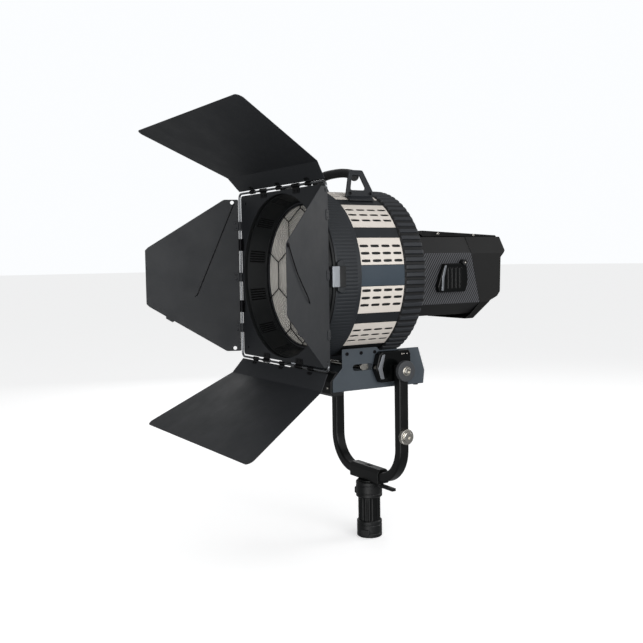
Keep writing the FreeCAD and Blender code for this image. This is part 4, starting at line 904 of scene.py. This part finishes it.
def make_handle():
    """Two pierced brackets with feet, and an arched grip of soft rubber between them."""
    outside, _, top = span("handle_brackets")[1]
    half = outside - 14.5
    base = AXIS_Z + 190.0
    plate = rounded([(-126, base), (-46, base), (-46, base + 18), (-76, top), (-115, top), (-124, base + 12)],
                    [3, 3, 8, 7, 8, 20], 6)
    window = rounded([(-112, base + 19), (-64, base + 19), (-84, top - 13), (-107, top - 13)], [4, 5, 5, 5],
                     6)
    plate_half = 3.0
    pierced_plate = slab(dense(plate, 5.0), half - plate_half, half + plate_half, 1.2, dense(window, 2.0))
    bracket = laid(pierced_plate, (0, 0, 0), Y, Z, X)
    foot_outline = rounded([(half, base - 1), (half, base + 7), (outside, base - 4), (outside, base - 9)],
                           1.2, 4)
    foot = laid(slab(foot_outline, -122, -50, 0.8), (0, 0, 0), X, Z, Y)
    parts = [bracket, foot]
    make("carry_brackets", parts + [mirrored(part) for part in parts], "lamp", RING_COAT,
         ("handle_brackets",))
    reach = half - plate_half - 0.2
    grip_low, grip_high = span("handle_grip")
    girth = (grip_high[1] - grip_low[1]) / 2
    middle_y = (grip_high[1] + grip_low[1]) / 2
    share = np.linspace(-1, 1, 41)
    crest = grip_high[2] - girth - 12 * np.abs(share) ** 2.6
    path = np.stack([share * reach, np.full(41, middle_y), crest], -1)
    oval = oblong(2 * girth, 22.0, 9.5, 6)
    collar = [(0, 0), (12.6, 0), (13.4, 0.8), (13.4, 3.2), (12.6, 4), (0, 4)]
    ends = [lathe(collar, (side * reach, middle_y, crest[0]), (-side, 0, 0.0), 40) for side in (-1, 1)]
    make("carry_grip", [carried(oval, path, Y)] + ends, "lamp", GRIP_RUBBER,
         ("handle_grip",))


def make_ears():
    """Light alloy ears that hold the barn-door ring, the dark bosses they sit in, and the spring latch."""
    low, high = span("accessory_ears")
    radius = span("front_ring")[1][0]
    half, split = 24.0, -226.5
    pad_outline = rounded([(low[1], -half), (split, -half), (split, half), (low[1], half)], 1.5, 4)
    pad = slab(dense(pad_outline, 4.0), radius - 4.5, high[0], 0.8)
    split += 0.3
    rest_outline = rounded([(split, -half), (high[1], -half), (high[1], half), (split, half)], 1.5, 4)
    rest = slab(dense(rest_outline, 4.0), radius - 1, high[0] - 0.6, 0.8)
    for name, sheet, finish, slot in (("ring_ears", pad, EAR_ALLOY, "grey_alloy"),
                                      ("ear_rests", rest, PEBBLE_PLASTIC, "dark_grey_coat")):
        block = laid(sheet, (0, 0, AXIS_Z), Y, Z, X)
        under = laid(sheet, (0, 0, AXIS_Z), Y, X, -Z)
        stands_for = ("accessory_ears",) if slot == "grey_alloy" else ()
        make(name, [block, mirrored(block), under], "lamp", finish, stands_for)
    softened("accessory_latch", "ring_latch", PEBBLE_PLASTIC, 0.8)
    ramp = dense(rounded([(-21, -33), (-12, -38), (-1, -38), (-1, 38), (-12, 38), (-21, 33)], 3.0, 5), 5.0)
    boss = laid(slab(ramp, radius - 3.0, high[0] - 3.4, 1.6), (0, high[1], AXIS_Z), Y, Z, X)
    make("ear_bosses", [boss, mirrored(boss)], "lamp", RING_COAT)


def make_shroud():
    """Baffle inside the mouth, with groups of five axial grooves pressed into its cone.

    It is a thin profile turned about the axis.  The groove depth is a step in the angle, and the columns of
    points crowd at the groove walls so that they stand upright.
    """
    low, high = span("inner_shroud")
    groups, grooves, pitch, width, depth = 12, 5, 2.0, 0.95, 2.2
    group_middle = (np.arange(groups)[:, None] + 0.5) * 360 / groups
    middle = group_middle + (np.arange(grooves) - (grooves - 1) / 2) * pitch
    edge = middle[..., None] + np.array([-0.62, -0.5, 0.5, 0.62]) * width
    between = (np.arange(groups) + 0.0)[:, None] * 360 / groups + np.array([-9.0, -3.0, 3.0, 9.0])
    angle = np.radians(np.sort(np.concatenate([edge.ravel(), between.ravel()]) % 360))

    def pressed(turn):
        degrees = np.degrees(turn)[:, None, None]
        return (np.abs((degrees - middle[None] + 180) % 360 - 180).min((1, 2)) < 0.56 * width).astype(float)

    wall, throat, neck = 1.4, 184.6, -200.0
    mouth = high[0] - wall

    def cone(y):
        return np.interp(y, [low[1], neck], [mouth, throat + 1.5])

    steps = [low[1] + 0.4, low[1] + 5, low[1] + 5.4, neck - 3.6, neck - 3.2, neck]
    deep = [0, 0, depth, depth, 0, 0]
    profile = [(cone(y), y, gain) for y, gain in zip(steps, deep)]
    profile += [(throat, neck + 1, 0), (throat, high[1], 0), (throat + wall, high[1], 0),
                (throat + wall, neck + 4, 0), (throat + 4.0, neck + 4, 0), (mouth + 2.6, low[1] + 0.4, 0),
                (mouth + 1.3, low[1], 0)]
    make("baffle_shroud", [(spun(profile, angle, pressed), True, True)], "lamp", BAFFLE_BLACK,
         ("inner_shroud",))
    # painted shade: a thin near-black strip laid on the floor of each groove
    near = np.array([cone(steps[2]) + 1.9, steps[2] + 0.6])
    far = np.array([cone(steps[3]) + 1.9, steps[3] - 0.6])
    floors = []
    for turn in np.radians(middle.ravel()):
        out = np.array([math.cos(turn), 0, math.sin(turn)])
        first, last = [out * radius + Y * y + Z * AXIS_Z for radius, y in (near, far)]
        strip = slab(oblong(float(np.linalg.norm(last - first)), math.radians(width) * throat, 0.8, 4), 0,
                     0.25, 0.1)
        along, across = unit(last - first), np.cross(Y, out)
        floors.append(laid(strip, (first + last) / 2, along, across, np.cross(along, across)))
    make("baffle_groove_shade", floors, "lamp", GROOVE_SHADE_BLACK)


def make_lens():
    """Stepped lens and its honeycomb wire guard.

    The lens front rises in each zone along a slope that grows with the radius, and drops back in a short
    riser.
    """
    low, high = span("fresnel_lens")
    radius, zones, points = high[0], 22, 3
    edge = radius * np.linspace(0, 1, zones + 1)
    share = np.linspace(0, 0.94, points)
    at = edge[:-1, None] + (edge[1:] - edge[:-1])[:, None] * share
    rise = 3.2 * (edge[1:, None] / radius) ** 0.8 * share
    front = np.stack([at.ravel(), (low[1] + 1.0 + rise).ravel()], -1)
    profile = np.vstack([front, [(radius, low[1] + 1.0), (radius, high[1]), (0.0, high[1])]])
    make("stepped_lens", [(spun(profile, 128), False, True)], "lens", LENS_GLASS,
         ("fresnel_lens",))

    guard_low, guard_high = span("lens_guard")
    wire = (guard_high[1] - guard_low[1]) / 2 * 0.85
    wire_y = (guard_high[1] + guard_low[1]) / 2
    cell, reach = 118.0, radius - 1
    side = cell / math.sqrt(3)
    spoke = np.radians(np.arange(6) * 60 + 30)
    hexagon = np.stack([np.cos(spoke), np.sin(spoke)], -1) * side
    centres = np.array([(-0.5, 0), (0.5, 0), (0, math.sqrt(0.75)), (0, -math.sqrt(0.75))]) * cell
    starts = (centres[:, None] + hexagon[None]).reshape(-1, 2)
    ends = (centres[:, None] + np.roll(hexagon, -1, 0)[None]).reshape(-1, 2)
    lines = sorted({tuple(sorted([tuple(np.round(a, 2)), tuple(np.round(b, 2))]))
                    for a, b in zip(starts, ends)})
    meets = [point for line in lines for point in line]
    rim = [point for point in sorted(set(meets)) if meets.count(point) == 2]
    for point in rim:
        others = [np.array(b if a == point else a) for a, b in lines if point in (a, b)][:2]
        node = np.array(point)
        away = unit(-sum(unit(other - node) for other in others))
        length = math.sqrt((node @ away) ** 2 - node @ node + reach ** 2) - node @ away
        lines = lines + [(point, tuple(node + away * length))]
    wires = []
    for a, b in lines:
        middle = ((a[0] + b[0]) / 2, (a[1] + b[1]) / 2)
        wires.append(bar([(x, wire_y, AXIS_Z + z) for x, z in (a, middle, b)], wire, 8))
    hoop = circle(radius + 2, 120)
    hoop = np.stack([hoop[:, 0], np.full(len(hoop), wire_y), AXIS_Z + hoop[:, 1]], -1)
    wires.append(bar(hoop, wire, 8, closed=True))
    make("honeycomb_guard", wires, "lens", BLACK_OXIDE, ("lens_guard",))
    dress(LENS_RING_PAINT, "lens_frame")


def make_zoom_ring():
    """Zoom ring with 72 bold ribs: a smoothed square wave round the axis, fading at both ends."""
    low, high = span("zoom_ring")
    outer, bore, depth, ribs = high[0], 205.0, 4.2, 72

    def rib(angle):
        return np.clip(0.85 + 1.5 * np.cos(angle * ribs), 0, 1) - 1

    front, rear = low[1], high[1]
    profile = [(bore, front, 0), (outer - 7, front, 0), (outer - 5.4, front + 0.8, 0),
               (outer - 4.6, front + 2.2, 0),
               (outer - 1.6, front + 3.6, depth * 0.7), (outer - 0.4, front + 5.2, depth),
               (outer, front + 8, depth),
               (outer, rear - 7, depth), (outer - 0.4, rear - 4.6, depth),
               (outer - 1.4, rear - 3, depth * 0.8),
               (outer - 3.2, rear - 1.6, depth * 0.35), (outer - 4.6, rear - 0.7, 0), (outer - 6.5, rear, 0),
               (bore, rear, 0)]
    make("ribbed_zoom_ring", [(spun(profile, ribs * 18, rib), True, True)], "zoom", ZOOM_RUBBER,
         ("zoom_ring",))


def make_drum():
    """Everything of the drum that shows."""
    make_front_ring()
    make_drum_skin()
    make_handle()
    make_ears()
    make_shroud()
    make_lens()
    make_zoom_ring()
    dress(RING_COAT, "rear_plate", "head_mount_ring")
    dress(BAFFLE_BLACK, "drum_shell")
    dress(EAR_ALLOY, "cam_sleeve")
    dress(BRIGHT_NICKEL, "guide_rods")
    screw_y, screw_circle = span("rear_plate")[1][1] - 1.0, 186
    heads = []
    for turn in np.radians(np.arange(12) * 30 + 15):
        place = (screw_circle * math.cos(turn), screw_y, AXIS_Z + screw_circle * math.sin(turn))
        heads.append(hex_screw(place, Y, 4.2, 2.2))
    make("rear_plate_screws", heads, "lamp", BLACK_OXIDE)


# ---------------------------------------------------------------- cradle and tilt pivot

def make_cradle():
    """Slate channel with its window bolt, glossy dock blocks, pivot discs, bolts, screws and front block."""
    softened("base_cradle", "cradle_channel", CRADLE_COAT, 0.8)
    softened("front_block", "cradle_nose_block", PEBBLE_PLASTIC, 1.5)
    softened("window_bolt", "window_cross_bolt", BRIGHT_NICKEL, 0.6)
    low, high = span("base_cradle")
    half, floor = high[0], low[2]
    outer = span("dock_blocks")[1][0]
    side = rounded([(-50, floor + 15), (34, floor + 15), (42, floor + 23), (42, floor + 85), (37, floor + 93),
                    (-46, floor + 93), (-56, floor + 85), (-66, floor + 49)], [5, 4, 4, 3, 3, 4, 8, 14], 5)
    block = laid(slab(dense(side, 6.0), half + 0.1, outer, 3.2), (0, 0, 0), Y, Z, X)
    make("glossy_docks", [block, mirrored(block)], "lamp", GLOSS_PLASTIC, ("dock_blocks",))
    # painted highlight: a light grey metal strip on the front bevel, where the glossy block reflects the
    # light
    highlight_outline = rounded([(-52, floor + 24), (-41, floor + 24), (-47, floor + 50), (-38, floor + 87),
                         (-47, floor + 84), (-60, floor + 51)], [2, 2, 10, 2, 2, 10], 4)
    highlight_strip = laid(slab(dense(highlight_outline, 4.0), outer - 0.6, outer + 0.8, 0.6), (0, 0, 0), Y, Z, X)
    make("dock_bevel_highlights", [highlight_strip, mirrored(highlight_strip)], "lamp", BEVEL_HIGHLIGHT_METAL)

    marks = []
    for y, length, height in ((14.0, 1.6, 5.0), (20.0, 4.0, 1.6), (30.0, 2.4, 2.4)):
        mark = laid(slab(oblong(length, height, 0.7, 3), outer - 0.1, outer + 0.2, 0.1), (0, y, floor + 84),
                    Y, Z, X)
        marks += [mark, mirrored(mark)]
    make("tilt_scale_marks", marks, "lamp", CREAM_ENAMEL)

    disc_low, disc_high = span("pivot_discs")
    radius = (disc_high[2] - disc_low[2]) / 2
    inside = span("yoke_tube")[1][0] + 0.3
    thick = disc_high[0] - inside
    rim = [(0, 0), (radius - 1.0, 0), (radius, 1.0), (radius, thick - 2.2), (radius - 0.8, thick - 0.8),
           (radius - 2.6, thick), (14.5, thick), (14.0, thick - 0.5), (12.5, thick - 0.5), (12.0, thick),
           (0, thick)]
    discs = [lathe(rim, (s * inside, 0, TILT_Z), (s, 0, 0), 72) for s in (1, -1)]
    make("friction_discs", discs, "lamp", DISC_PLASTIC, ("pivot_discs",))
    washer = [(0, 0), (12.2, 0), (12.2, 1.2), (11.6, 1.8), (9.2, 1.8), (9.0, 2.6), (8.6, 6.0), (7.8, 6.9),
              (4.4, 6.9, 6), (4.4, 3.2, 6), (0, 3.2)]
    near = lathe(washer, (disc_high[0] - 0.6, 0, TILT_Z), X, 60)
    shank = [(0, 0), (8, 0), (8, disc_high[0] - 100), (0, disc_high[0] - 100)]
    shanks = [lathe(shank, (s * 99.0, 0, TILT_Z), (s, 0, 0), 40) for s in (1, -1)]
    make("tilt_bolts", [near] + shanks, "lamp", BRIGHT_NICKEL, ("pivot_bolts",))
    softened("tilt_lock_lever", "tilt_clamp_lever", PEBBLE_PLASTIC, 1.6)

    screws = []
    top = high[2]
    for y in (-139.0, -97.0, -56.0):
        screws += [hex_screw((s * (half + 0.05), y, top - 12), (s, 0, 0)) for s in (1, -1)]
    bracket = span("handle_brackets")[1][0] - 11.5
    for y in (-114.0, -54.0):
        screws += [hex_screw((s * (bracket + 0.02), y, AXIS_Z + 201), (s, 0, 0), 4.0) for s in (1, -1)]
    make("black_cap_screws", screws, "lamp", BLACK_OXIDE, ("case_screws",))
    nose_y = span("front_block")[0][1] + 0.2
    nose = [hex_screw((s * x, nose_y, z), -Y, 3.6) for s in (1, -1)
            for x, z in ((76.0, floor + 20), (95.0, floor + 10))]
    make("nose_block_screws", nose, "lamp", BRIGHT_NICKEL)
    feet = [lathe([(0, 2), (7, 2), (7, -3.5), (6, -4.4), (0, -4.4)], (s * 96, 84, floor), Z, 32)
            for s in (1, -1)]
    make("cradle_feet", feet, "lamp", GRIP_RUBBER)


# ---------------------------------------------------------------- yoke and socket

def make_yoke():
    """Bent tube, clamp sleeve, thumb screw and levers."""
    low, high = span("yoke_tube")
    arm_out = high[0]
    width = high[1] - low[1]
    thick = 24.0
    arm_x = arm_out - thick / 2
    floor_z = low[2] + thick / 2
    top = TILT_Z + width / 2 - 1
    corners = [(-arm_x, 0, top), (-arm_x, 0, floor_z), (arm_x, 0, floor_z), (arm_x, 0, top)]
    path = rounded(corners, 86.0, 26, closed=False)
    make("bent_tube", [carried(oblong(width, thick, 4.5, 5), path, Y)], "yoke", YOKE_PAINT,
         ("yoke_tube",))
    sleeve_low, sleeve_high = span("yoke_sleeve")
    half, foot, crown = sleeve_high[1], sleeve_low[2], sleeve_high[2]
    section = rounded([(-half, foot), (half, foot), (half, crown - 9), (half - 7, crown), (7 - half, crown),
                       (-half, crown - 9)], [2.5, 2.5, 4, 4, 4, 4], 5)
    sleeve = laid(slab(dense(section, 4.0), sleeve_low[0], sleeve_high[0], 1.6), (0, 0, 0), Y, Z, X)
    make("clamp_sleeve", [sleeve], "yoke", YOKE_PAINT, ("yoke_sleeve",))
    cap = slab(oblong(22, 12, 2.5), 0, 1.6, 0.6)
    bolts = [laid(cap, (0, 0, crown - 0.4), X, Y, Z), hex_screw((0, 0, crown + 1.0), Z, 4.0, 1.4)]
    make("sleeve_cap", bolts, "yoke", BLACK_OXIDE)
    knob_low, knob_high = span("accessory_knob")
    face = arm_out + 0.3
    rim = (knob_high[2] - knob_low[2]) / 2 - 0.45
    disc = knob_high[0] - face - 4.0
    stations = [(0, 0), (rim - 1.4, 0), (rim, 1.4), (rim, disc - 1.6), (rim - 1.6, disc)]
    centre = (face, 0, pivot("accessory_knob_turn")[2])
    hub = [(0, disc - 0.2), (13.4, disc - 0.2), (12.6, disc + 3.2), (11.4, disc + 4.0), (5.2, disc + 4.0, 6),
           (5.2, disc + 0.6, 6), (0, disc + 0.6)]
    knurl = lathe(stations + [(0, disc)], centre, X, 240, lobes=48, lobe_depth=0.45)
    make("knurled_thumb_screw", [knurl, lathe(hub, centre, X, 48)], "thumb", BRIGHT_NICKEL,
         ("accessory_knob",))
    softened("sleeve_lever", "sleeve_clamp_lever", PEBBLE_PLASTIC, 1.4)
    dress(YOKE_PAINT, "yoke_spigot")


LOW_COLLAR_RADIUS, TOP_COLLAR_RADIUS = 33.5, 35.0


def make_socket():
    """Stand socket: a fluted column between two clamp collars, and two lobed lock knobs."""
    low, high = span("socket_tube")
    radius = high[0]
    bore, depth = 14.4, 75.0
    flutes = 16
    outside = [(radius - 1.2, low[2]), (radius, low[2] + 1.2), (radius, low[2] + 44.0)]
    fluted = [(radius, low[2] + 46.0), (radius, low[2] + 60), (radius, low[2] + 90), (radius, low[2] + 106.0)]
    stations = [(0, depth), (bore, depth), (bore, low[2] + 1), (bore + 1, low[2])] + outside + fluted
    stations += [(radius, high[2] - 1), (radius - 1, high[2]), (14.2, high[2]), (14.2, high[2] - 4),
                 (0, high[2] - 4)]
    column = lathe(stations, (0, 0, 0), Z, 192)
    points = column[0]
    angle = np.arctan2(points[..., 1], points[..., 0])
    flat = np.linalg.norm(points[..., :2], axis=-1)
    is_fluted = (flat > radius - 0.1) & (points[..., 2] > 45.5) & (points[..., 2] < 106.5)
    pull = np.where(is_fluted, 1 - 1.7 * (0.5 + 0.5 * np.cos(angle * flutes)) ** 2 / radius, 1.0)
    points[..., :2] *= pull[..., None]
    make("fluted_column", [column], "socket", SOCKET_GLOSS, ("socket_tube",))
    collars = []
    for foot, top, ring in ((0.0, 45.0, LOW_COLLAR_RADIUS), (107.0, 150.0, TOP_COLLAR_RADIUS)):
        inside, waist = radius + 0.1, ring - 0.8
        collars.append([(inside, foot + 0.2), (ring - 2, foot + 0.2), (ring, foot + 2.2), (ring, foot + 9),
                        (waist, foot + 10), (waist, foot + 12), (ring, foot + 13), (ring, top - 13),
                        (waist, top - 12), (waist, top - 10), (ring, top - 9), (ring, top - 2.2),
                        (ring - 2, top - 0.2), (inside, top - 0.2)])
    sheets = [(lathe(profile, (0, 0, 0), Z, 96)[0], True, True) for profile in collars]
    boss = slab(dense(oblong(24, 18, 5.0), 4.0), 0, 8.0, 1.6)
    for degrees, height, ring in ((-55.0, 14.0, LOW_COLLAR_RADIUS), (32.0, 138.0, TOP_COLLAR_RADIUS),
                                  (214.0, 122.0, TOP_COLLAR_RADIUS)):
        turn = math.radians(degrees)
        out = np.array([math.cos(turn), math.sin(turn), 0])
        sheets.append(laid(boss, out * (ring - 5.5) + Z * height, np.cross(Z, out), Z, out))
    make("moulded_collars", sheets, "socket", PEBBLE_PLASTIC, ("socket_collars",))
    for node, body, joint, collar in (
            ("stand_lock_knob", "stand_knob", "stand_lock_turn", LOW_COLLAR_RADIUS),
            ("pan_lock_knob", "pan_knob", "pan_lock_turn", TOP_COLLAR_RADIUS)):
        centre = pivot(joint)
        out = unit(centre * [1, 1, 0])
        origin = Z * centre[2]
        knob_radius = 14.4
        neck = [(0, 16), (4, 16), (4, collar + 0.5), (8, collar + 0.5), (8, 44.4), (0, 44.4)]
        head = [(0, 44), (knob_radius - 1.5, 44), (knob_radius, 45.5), (knob_radius, 61),
                (knob_radius - 2.5, 63.6), (0, 63.9)]
        make(node + "_lobed", [lathe(neck, origin, out, 32), lathe(head, origin, out, 120, 5, 1.5)], body,
             PEBBLE_PLASTIC, (node,))


# ---------------------------------------------------------------- LED head

PANEL_FACE = 367.0


def make_head():
    """Case, rear shroud, rail, docks with their button, the back panel's controls and what shows inside."""
    softened("head_case", "woven_case", HEAD_SHELL, 1.0)
    softened("head_rear_shroud", "tail_shroud", HEAD_SHELL_PLAIN, 1.4)
    outer, half = span("head_side_docks")[1][0], span("head_case")[1][0]
    side = rounded([(147, AXIS_Z - 51), (236, AXIS_Z - 51), (244, AXIS_Z - 20), (240, AXIS_Z + 24),
                    (166, AXIS_Z + 24), (158, AXIS_Z + 8), (142, AXIS_Z - 36)], [7, 6, 20, 6, 5, 14, 8], 6)
    block = laid(slab(dense(side, 5.0), half + 0.1, outer - 1.6, 2.6), (0, 0, 0), Y, Z, X)
    rib = slab(dense(oblong(8.5, 58.0, 3.5), 4.0), 0, 3.4, 1.5)
    ribs = [laid(rib, (outer - 3.0, y, AXIS_Z - 15), Y, Z, X) for y in (178.0, 191.0, 204.0, 217.0)]
    parts = [block] + ribs
    make("ribbed_docks", parts + [mirrored(part) for part in parts], "lamp", GLOSS_PLASTIC,
         ("head_side_docks",))
    # painted highlight: a light grey metal strip on the front bevel, where the glossy dock reflects the light
    highlight_outline = rounded([(153, AXIS_Z - 47), (160, AXIS_Z - 47), (162, AXIS_Z - 12), (171, AXIS_Z + 19),
                         (165, AXIS_Z + 20), (155.5, AXIS_Z - 10)], [2.5, 2.5, 12, 2, 2, 12], 4)
    highlight_strip = laid(slab(dense(highlight_outline, 4.0), outer - 2.2, outer - 0.4, 0.7), (0, 0, 0), Y, Z, X)
    make("head_dock_bevel_highlights", [highlight_strip, mirrored(highlight_strip)], "lamp", BEVEL_HIGHLIGHT_METAL)
    button_low, button_high = span("dock_button")
    centre = (button_low + button_high) / 2
    reach = (button_high[2] - button_low[2]) / 2
    deep = button_high[0] - button_low[0]
    cap = [(0, 0), (reach, 0), (reach, deep - 1.4), (reach - 1.2, deep), (reach - 3, deep - 0.6),
           (0, deep - 0.8)]
    make("round_release_button", [lathe(cap, (button_low[0], centre[1], centre[2]), X, 48)], "side_button",
         PEBBLE_PLASTIC, ("dock_button",))
    dot = [(0, 0), (1.9, 0), (1.9, 0.5), (1.4, 0.8), (0, 0.8)]
    make("button_dot", [lathe(dot, (button_high[0] - 1.0, centre[1], centre[2]), X, 24)], "side_button",
         CREAM_ENAMEL)
    softened("head_top_rail", "top_rail", YOKE_PAINT, 0.8)
    rail_low, rail_high = span("head_top_rail")
    screws = [hex_screw((s * (rail_high[0] - 0.3), y, z), (s, 0, 0), 3.6) for s in (1, -1)
              for y, z in ((176.0, rail_low[2] + 8.0), (300.0, rail_low[2] + 4.5))]
    make("rail_screws", screws, "lamp", BRIGHT_NICKEL)

    softened("rear_panel", "control_panel", PEBBLE_PLASTIC, 0.4)
    softened("power_inlet", "inlet_socket", GLOSS_PLASTIC, 0.6)
    for node, body, name in (("dimmer_knob", "dimmer", "fluted_dimmer_knob"),
                             ("menu_knob", "menu", "fluted_menu_knob")):
        knob_low, knob_high = span(node)
        middle = (knob_low + knob_high) / 2
        rim = (knob_high[0] - knob_low[0]) / 2 - 0.5
        foot, face = PANEL_FACE + 0.2, knob_high[1]
        tall = face - foot
        stations = [(0, -8), (3, -8), (3, 0), (rim, 0), (rim, tall - 2), (rim - 1.8, tall), (rim - 3, tall),
                    (rim - 3.6, tall - 0.8), (0, tall - 0.8)]
        make(name, [lathe(stations, (middle[0], foot, middle[2]), Y, 120, 24, 0.45)], body, PEBBLE_PLASTIC,
             (node,))
    ticks = []
    for node in ("dimmer_knob", "menu_knob"):
        knob_low, knob_high = span(node)
        middle = (knob_low + knob_high) / 2 * [1, 0, 1]
        reach = (knob_high[0] - knob_low[0]) / 2
        for turn in np.radians(np.linspace(-135, 135, 10)):
            out = np.array([math.sin(turn), 0, math.cos(turn)])
            tick = slab(oblong(0.9, 3.0, 0.35, 3), 0, 0.25, 0.08)
            ticks.append(laid(tick, middle + Y * PANEL_FACE + out * (reach + 3.4), np.cross(Y, out), out, Y))
    key_low, key_high = span("power_button")
    middle = (key_low + key_high) / 2
    ring = lathe([(7.2, 0), (8.2, 0), (8.2, 0.25), (7.2, 0.25)], (middle[0], PANEL_FACE, middle[2]), Y, 48)[0]
    make("panel_marks", ticks + [(ring, True, True)], "lamp", CREAM_ENAMEL)
    bezel = slab(dense(oblong(82, 50, 4.0), 4.0), 0, 1.2, 0.4, dense(oblong(74, 42, 2.0), 2.0))
    screen_middle = sum(span("display_window")) / 2
    make("display_bezel", [laid(bezel, (screen_middle[0], PANEL_FACE, screen_middle[2]), X, Z, Y)], "lamp",
         GLOSS_PLASTIC)
    length = key_high[1] - key_low[1]
    key = [(0, 0), (6, 0), (6, length - 1), (5.2, length), (4.2, length - 0.4), (0, length - 0.8)]
    make("power_key_cap", [lathe(key, (middle[0], key_low[1], middle[2]), Y, 40)], "power_key", DISC_PLASTIC,
         ("power_button",))
    dress(SCREEN, "display_window")
    dress(REFLECTOR_ALLOY, "led_reflector")
    dress(PHOSPHOR, "led_module")
    dress(FIN_ALLOY, "heat_sink")
    dress(PIPE_COPPER, "heat_pipes")
    dress(PEBBLE_PLASTIC, "fan_frame", "fan_rotor")
    dress(BOARD_GREEN, "driver_board")


# ---------------------------------------------------------------- stage

def make_stage():
    """Pale floor, soft studio light and the camera.

    The camera stands at a distance and two angles from its target, and is turned about its own view line by
    roll.
    """
    size = 60.0
    floor = bpy.data.meshes.new("floor")
    floor.from_pydata([(-size, -size, -0.001), (size, -size, -0.001), (size, size, -0.001),
                       (-size, size, -0.001)],
                      [], [(0, 1, 2, 3)])
    floor = bpy.data.objects.new("floor", floor)
    bpy.context.scene.collection.objects.link(floor)
    paper, tree, surface, place = start("pale_paper", Roughness=0.9, Emission_Strength=0.5,
                                        Emission_Color=(1, 1, 1, 1), Specular_IOR_Level=0.0)
    fibre = add(tree, "TexNoise", {"Vector": place, "Scale": 1 / (300 * MM), "Detail": 3.0})
    tree.links.new(blend(tree, fibre.outputs["Fac"], "#d8d8d8", "#dbdbdb"), surface.inputs["Base Color"])
    floor.data.materials.append(paper)
    floor.visible_diffuse = False
    floor.visible_glossy = False

    world = bpy.data.worlds.new("studio")
    world.use_nodes = True
    tree = world.node_tree
    shine = tree.nodes["Background"]
    shine.inputs["Color"].default_value = (0.97, 0.985, 1, 1)
    seen = add(tree, "LightPath").outputs["Is Camera Ray"]
    level = add(tree, "MapRange", {"Value": seen, "To Min": 0.3, "To Max": 1.0})
    tree.links.new(level.outputs["Result"], shine.inputs["Strength"])
    bpy.context.scene.world = world
    middle = Vector((0, -0.1, 0.65))
    # each softbox: its place and width in metres, and its power in watts
    softboxes = (("key", (3.0, 0.2, 1.0), 1.6, 50), ("front", (2.4, -1.7, 0.9), 2.4, 36),
                 ("left", (-2.8, 0.9, 1.6), 1.6, 14), ("rear", (0.6, 3.0, 1.5), 1.4, 24),
                 ("bounce", (1.3, -1.6, 0.03), 1.6, 14))
    for name, spot, width, power in softboxes:
        light = bpy.data.lights.new(name, "AREA")
        light.energy = power
        light.size = width
        lamp = bpy.data.objects.new(name, light)
        lamp.location = spot
        lamp.rotation_mode = "QUATERNION"
        lamp.rotation_quaternion = (middle - Vector(spot)).to_track_quat("-Z", "Y")
        bpy.context.scene.collection.objects.link(lamp)
    sun = bpy.data.lights.new("sky", "SUN")
    sun.energy = 0.8
    sun.angle = math.radians(110)
    lamp = bpy.data.objects.new("sky", sun)
    lamp.rotation_mode = "QUATERNION"
    lamp.rotation_quaternion = Vector((-0.4, 0.15, -0.9)).to_track_quat("-Z", "Y")
    bpy.context.scene.collection.objects.link(lamp)

    target = Vector((-0.6, -141.1, 581.6)) * MM
    azimuth, elevation, roll = np.radians([58.2, 4.03, -0.92])
    distance = 2252.4 * MM
    back = Vector((math.sin(azimuth) * math.cos(elevation), -math.cos(azimuth) * math.cos(elevation),
                   math.sin(elevation)))
    camera = bpy.data.objects.new("camera", bpy.data.cameras.new("camera"))
    camera.data.lens = 49.3
    camera.data.sensor_width = 36.0
    camera.location = target + back * distance
    camera.rotation_mode = "QUATERNION"
    turn = (-back).to_track_quat("-Z", "Y").to_matrix() @ Matrix.Rotation(roll, 3, "Z")
    camera.rotation_quaternion = turn.to_quaternion()
    bpy.context.scene.collection.objects.link(camera)
    bpy.context.scene.camera = camera
    bpy.context.scene.view_settings.view_transform = "Standard"


make_stage()
make_doors()
make_drum()
make_cradle()
make_yoke()
make_socket()
make_head()
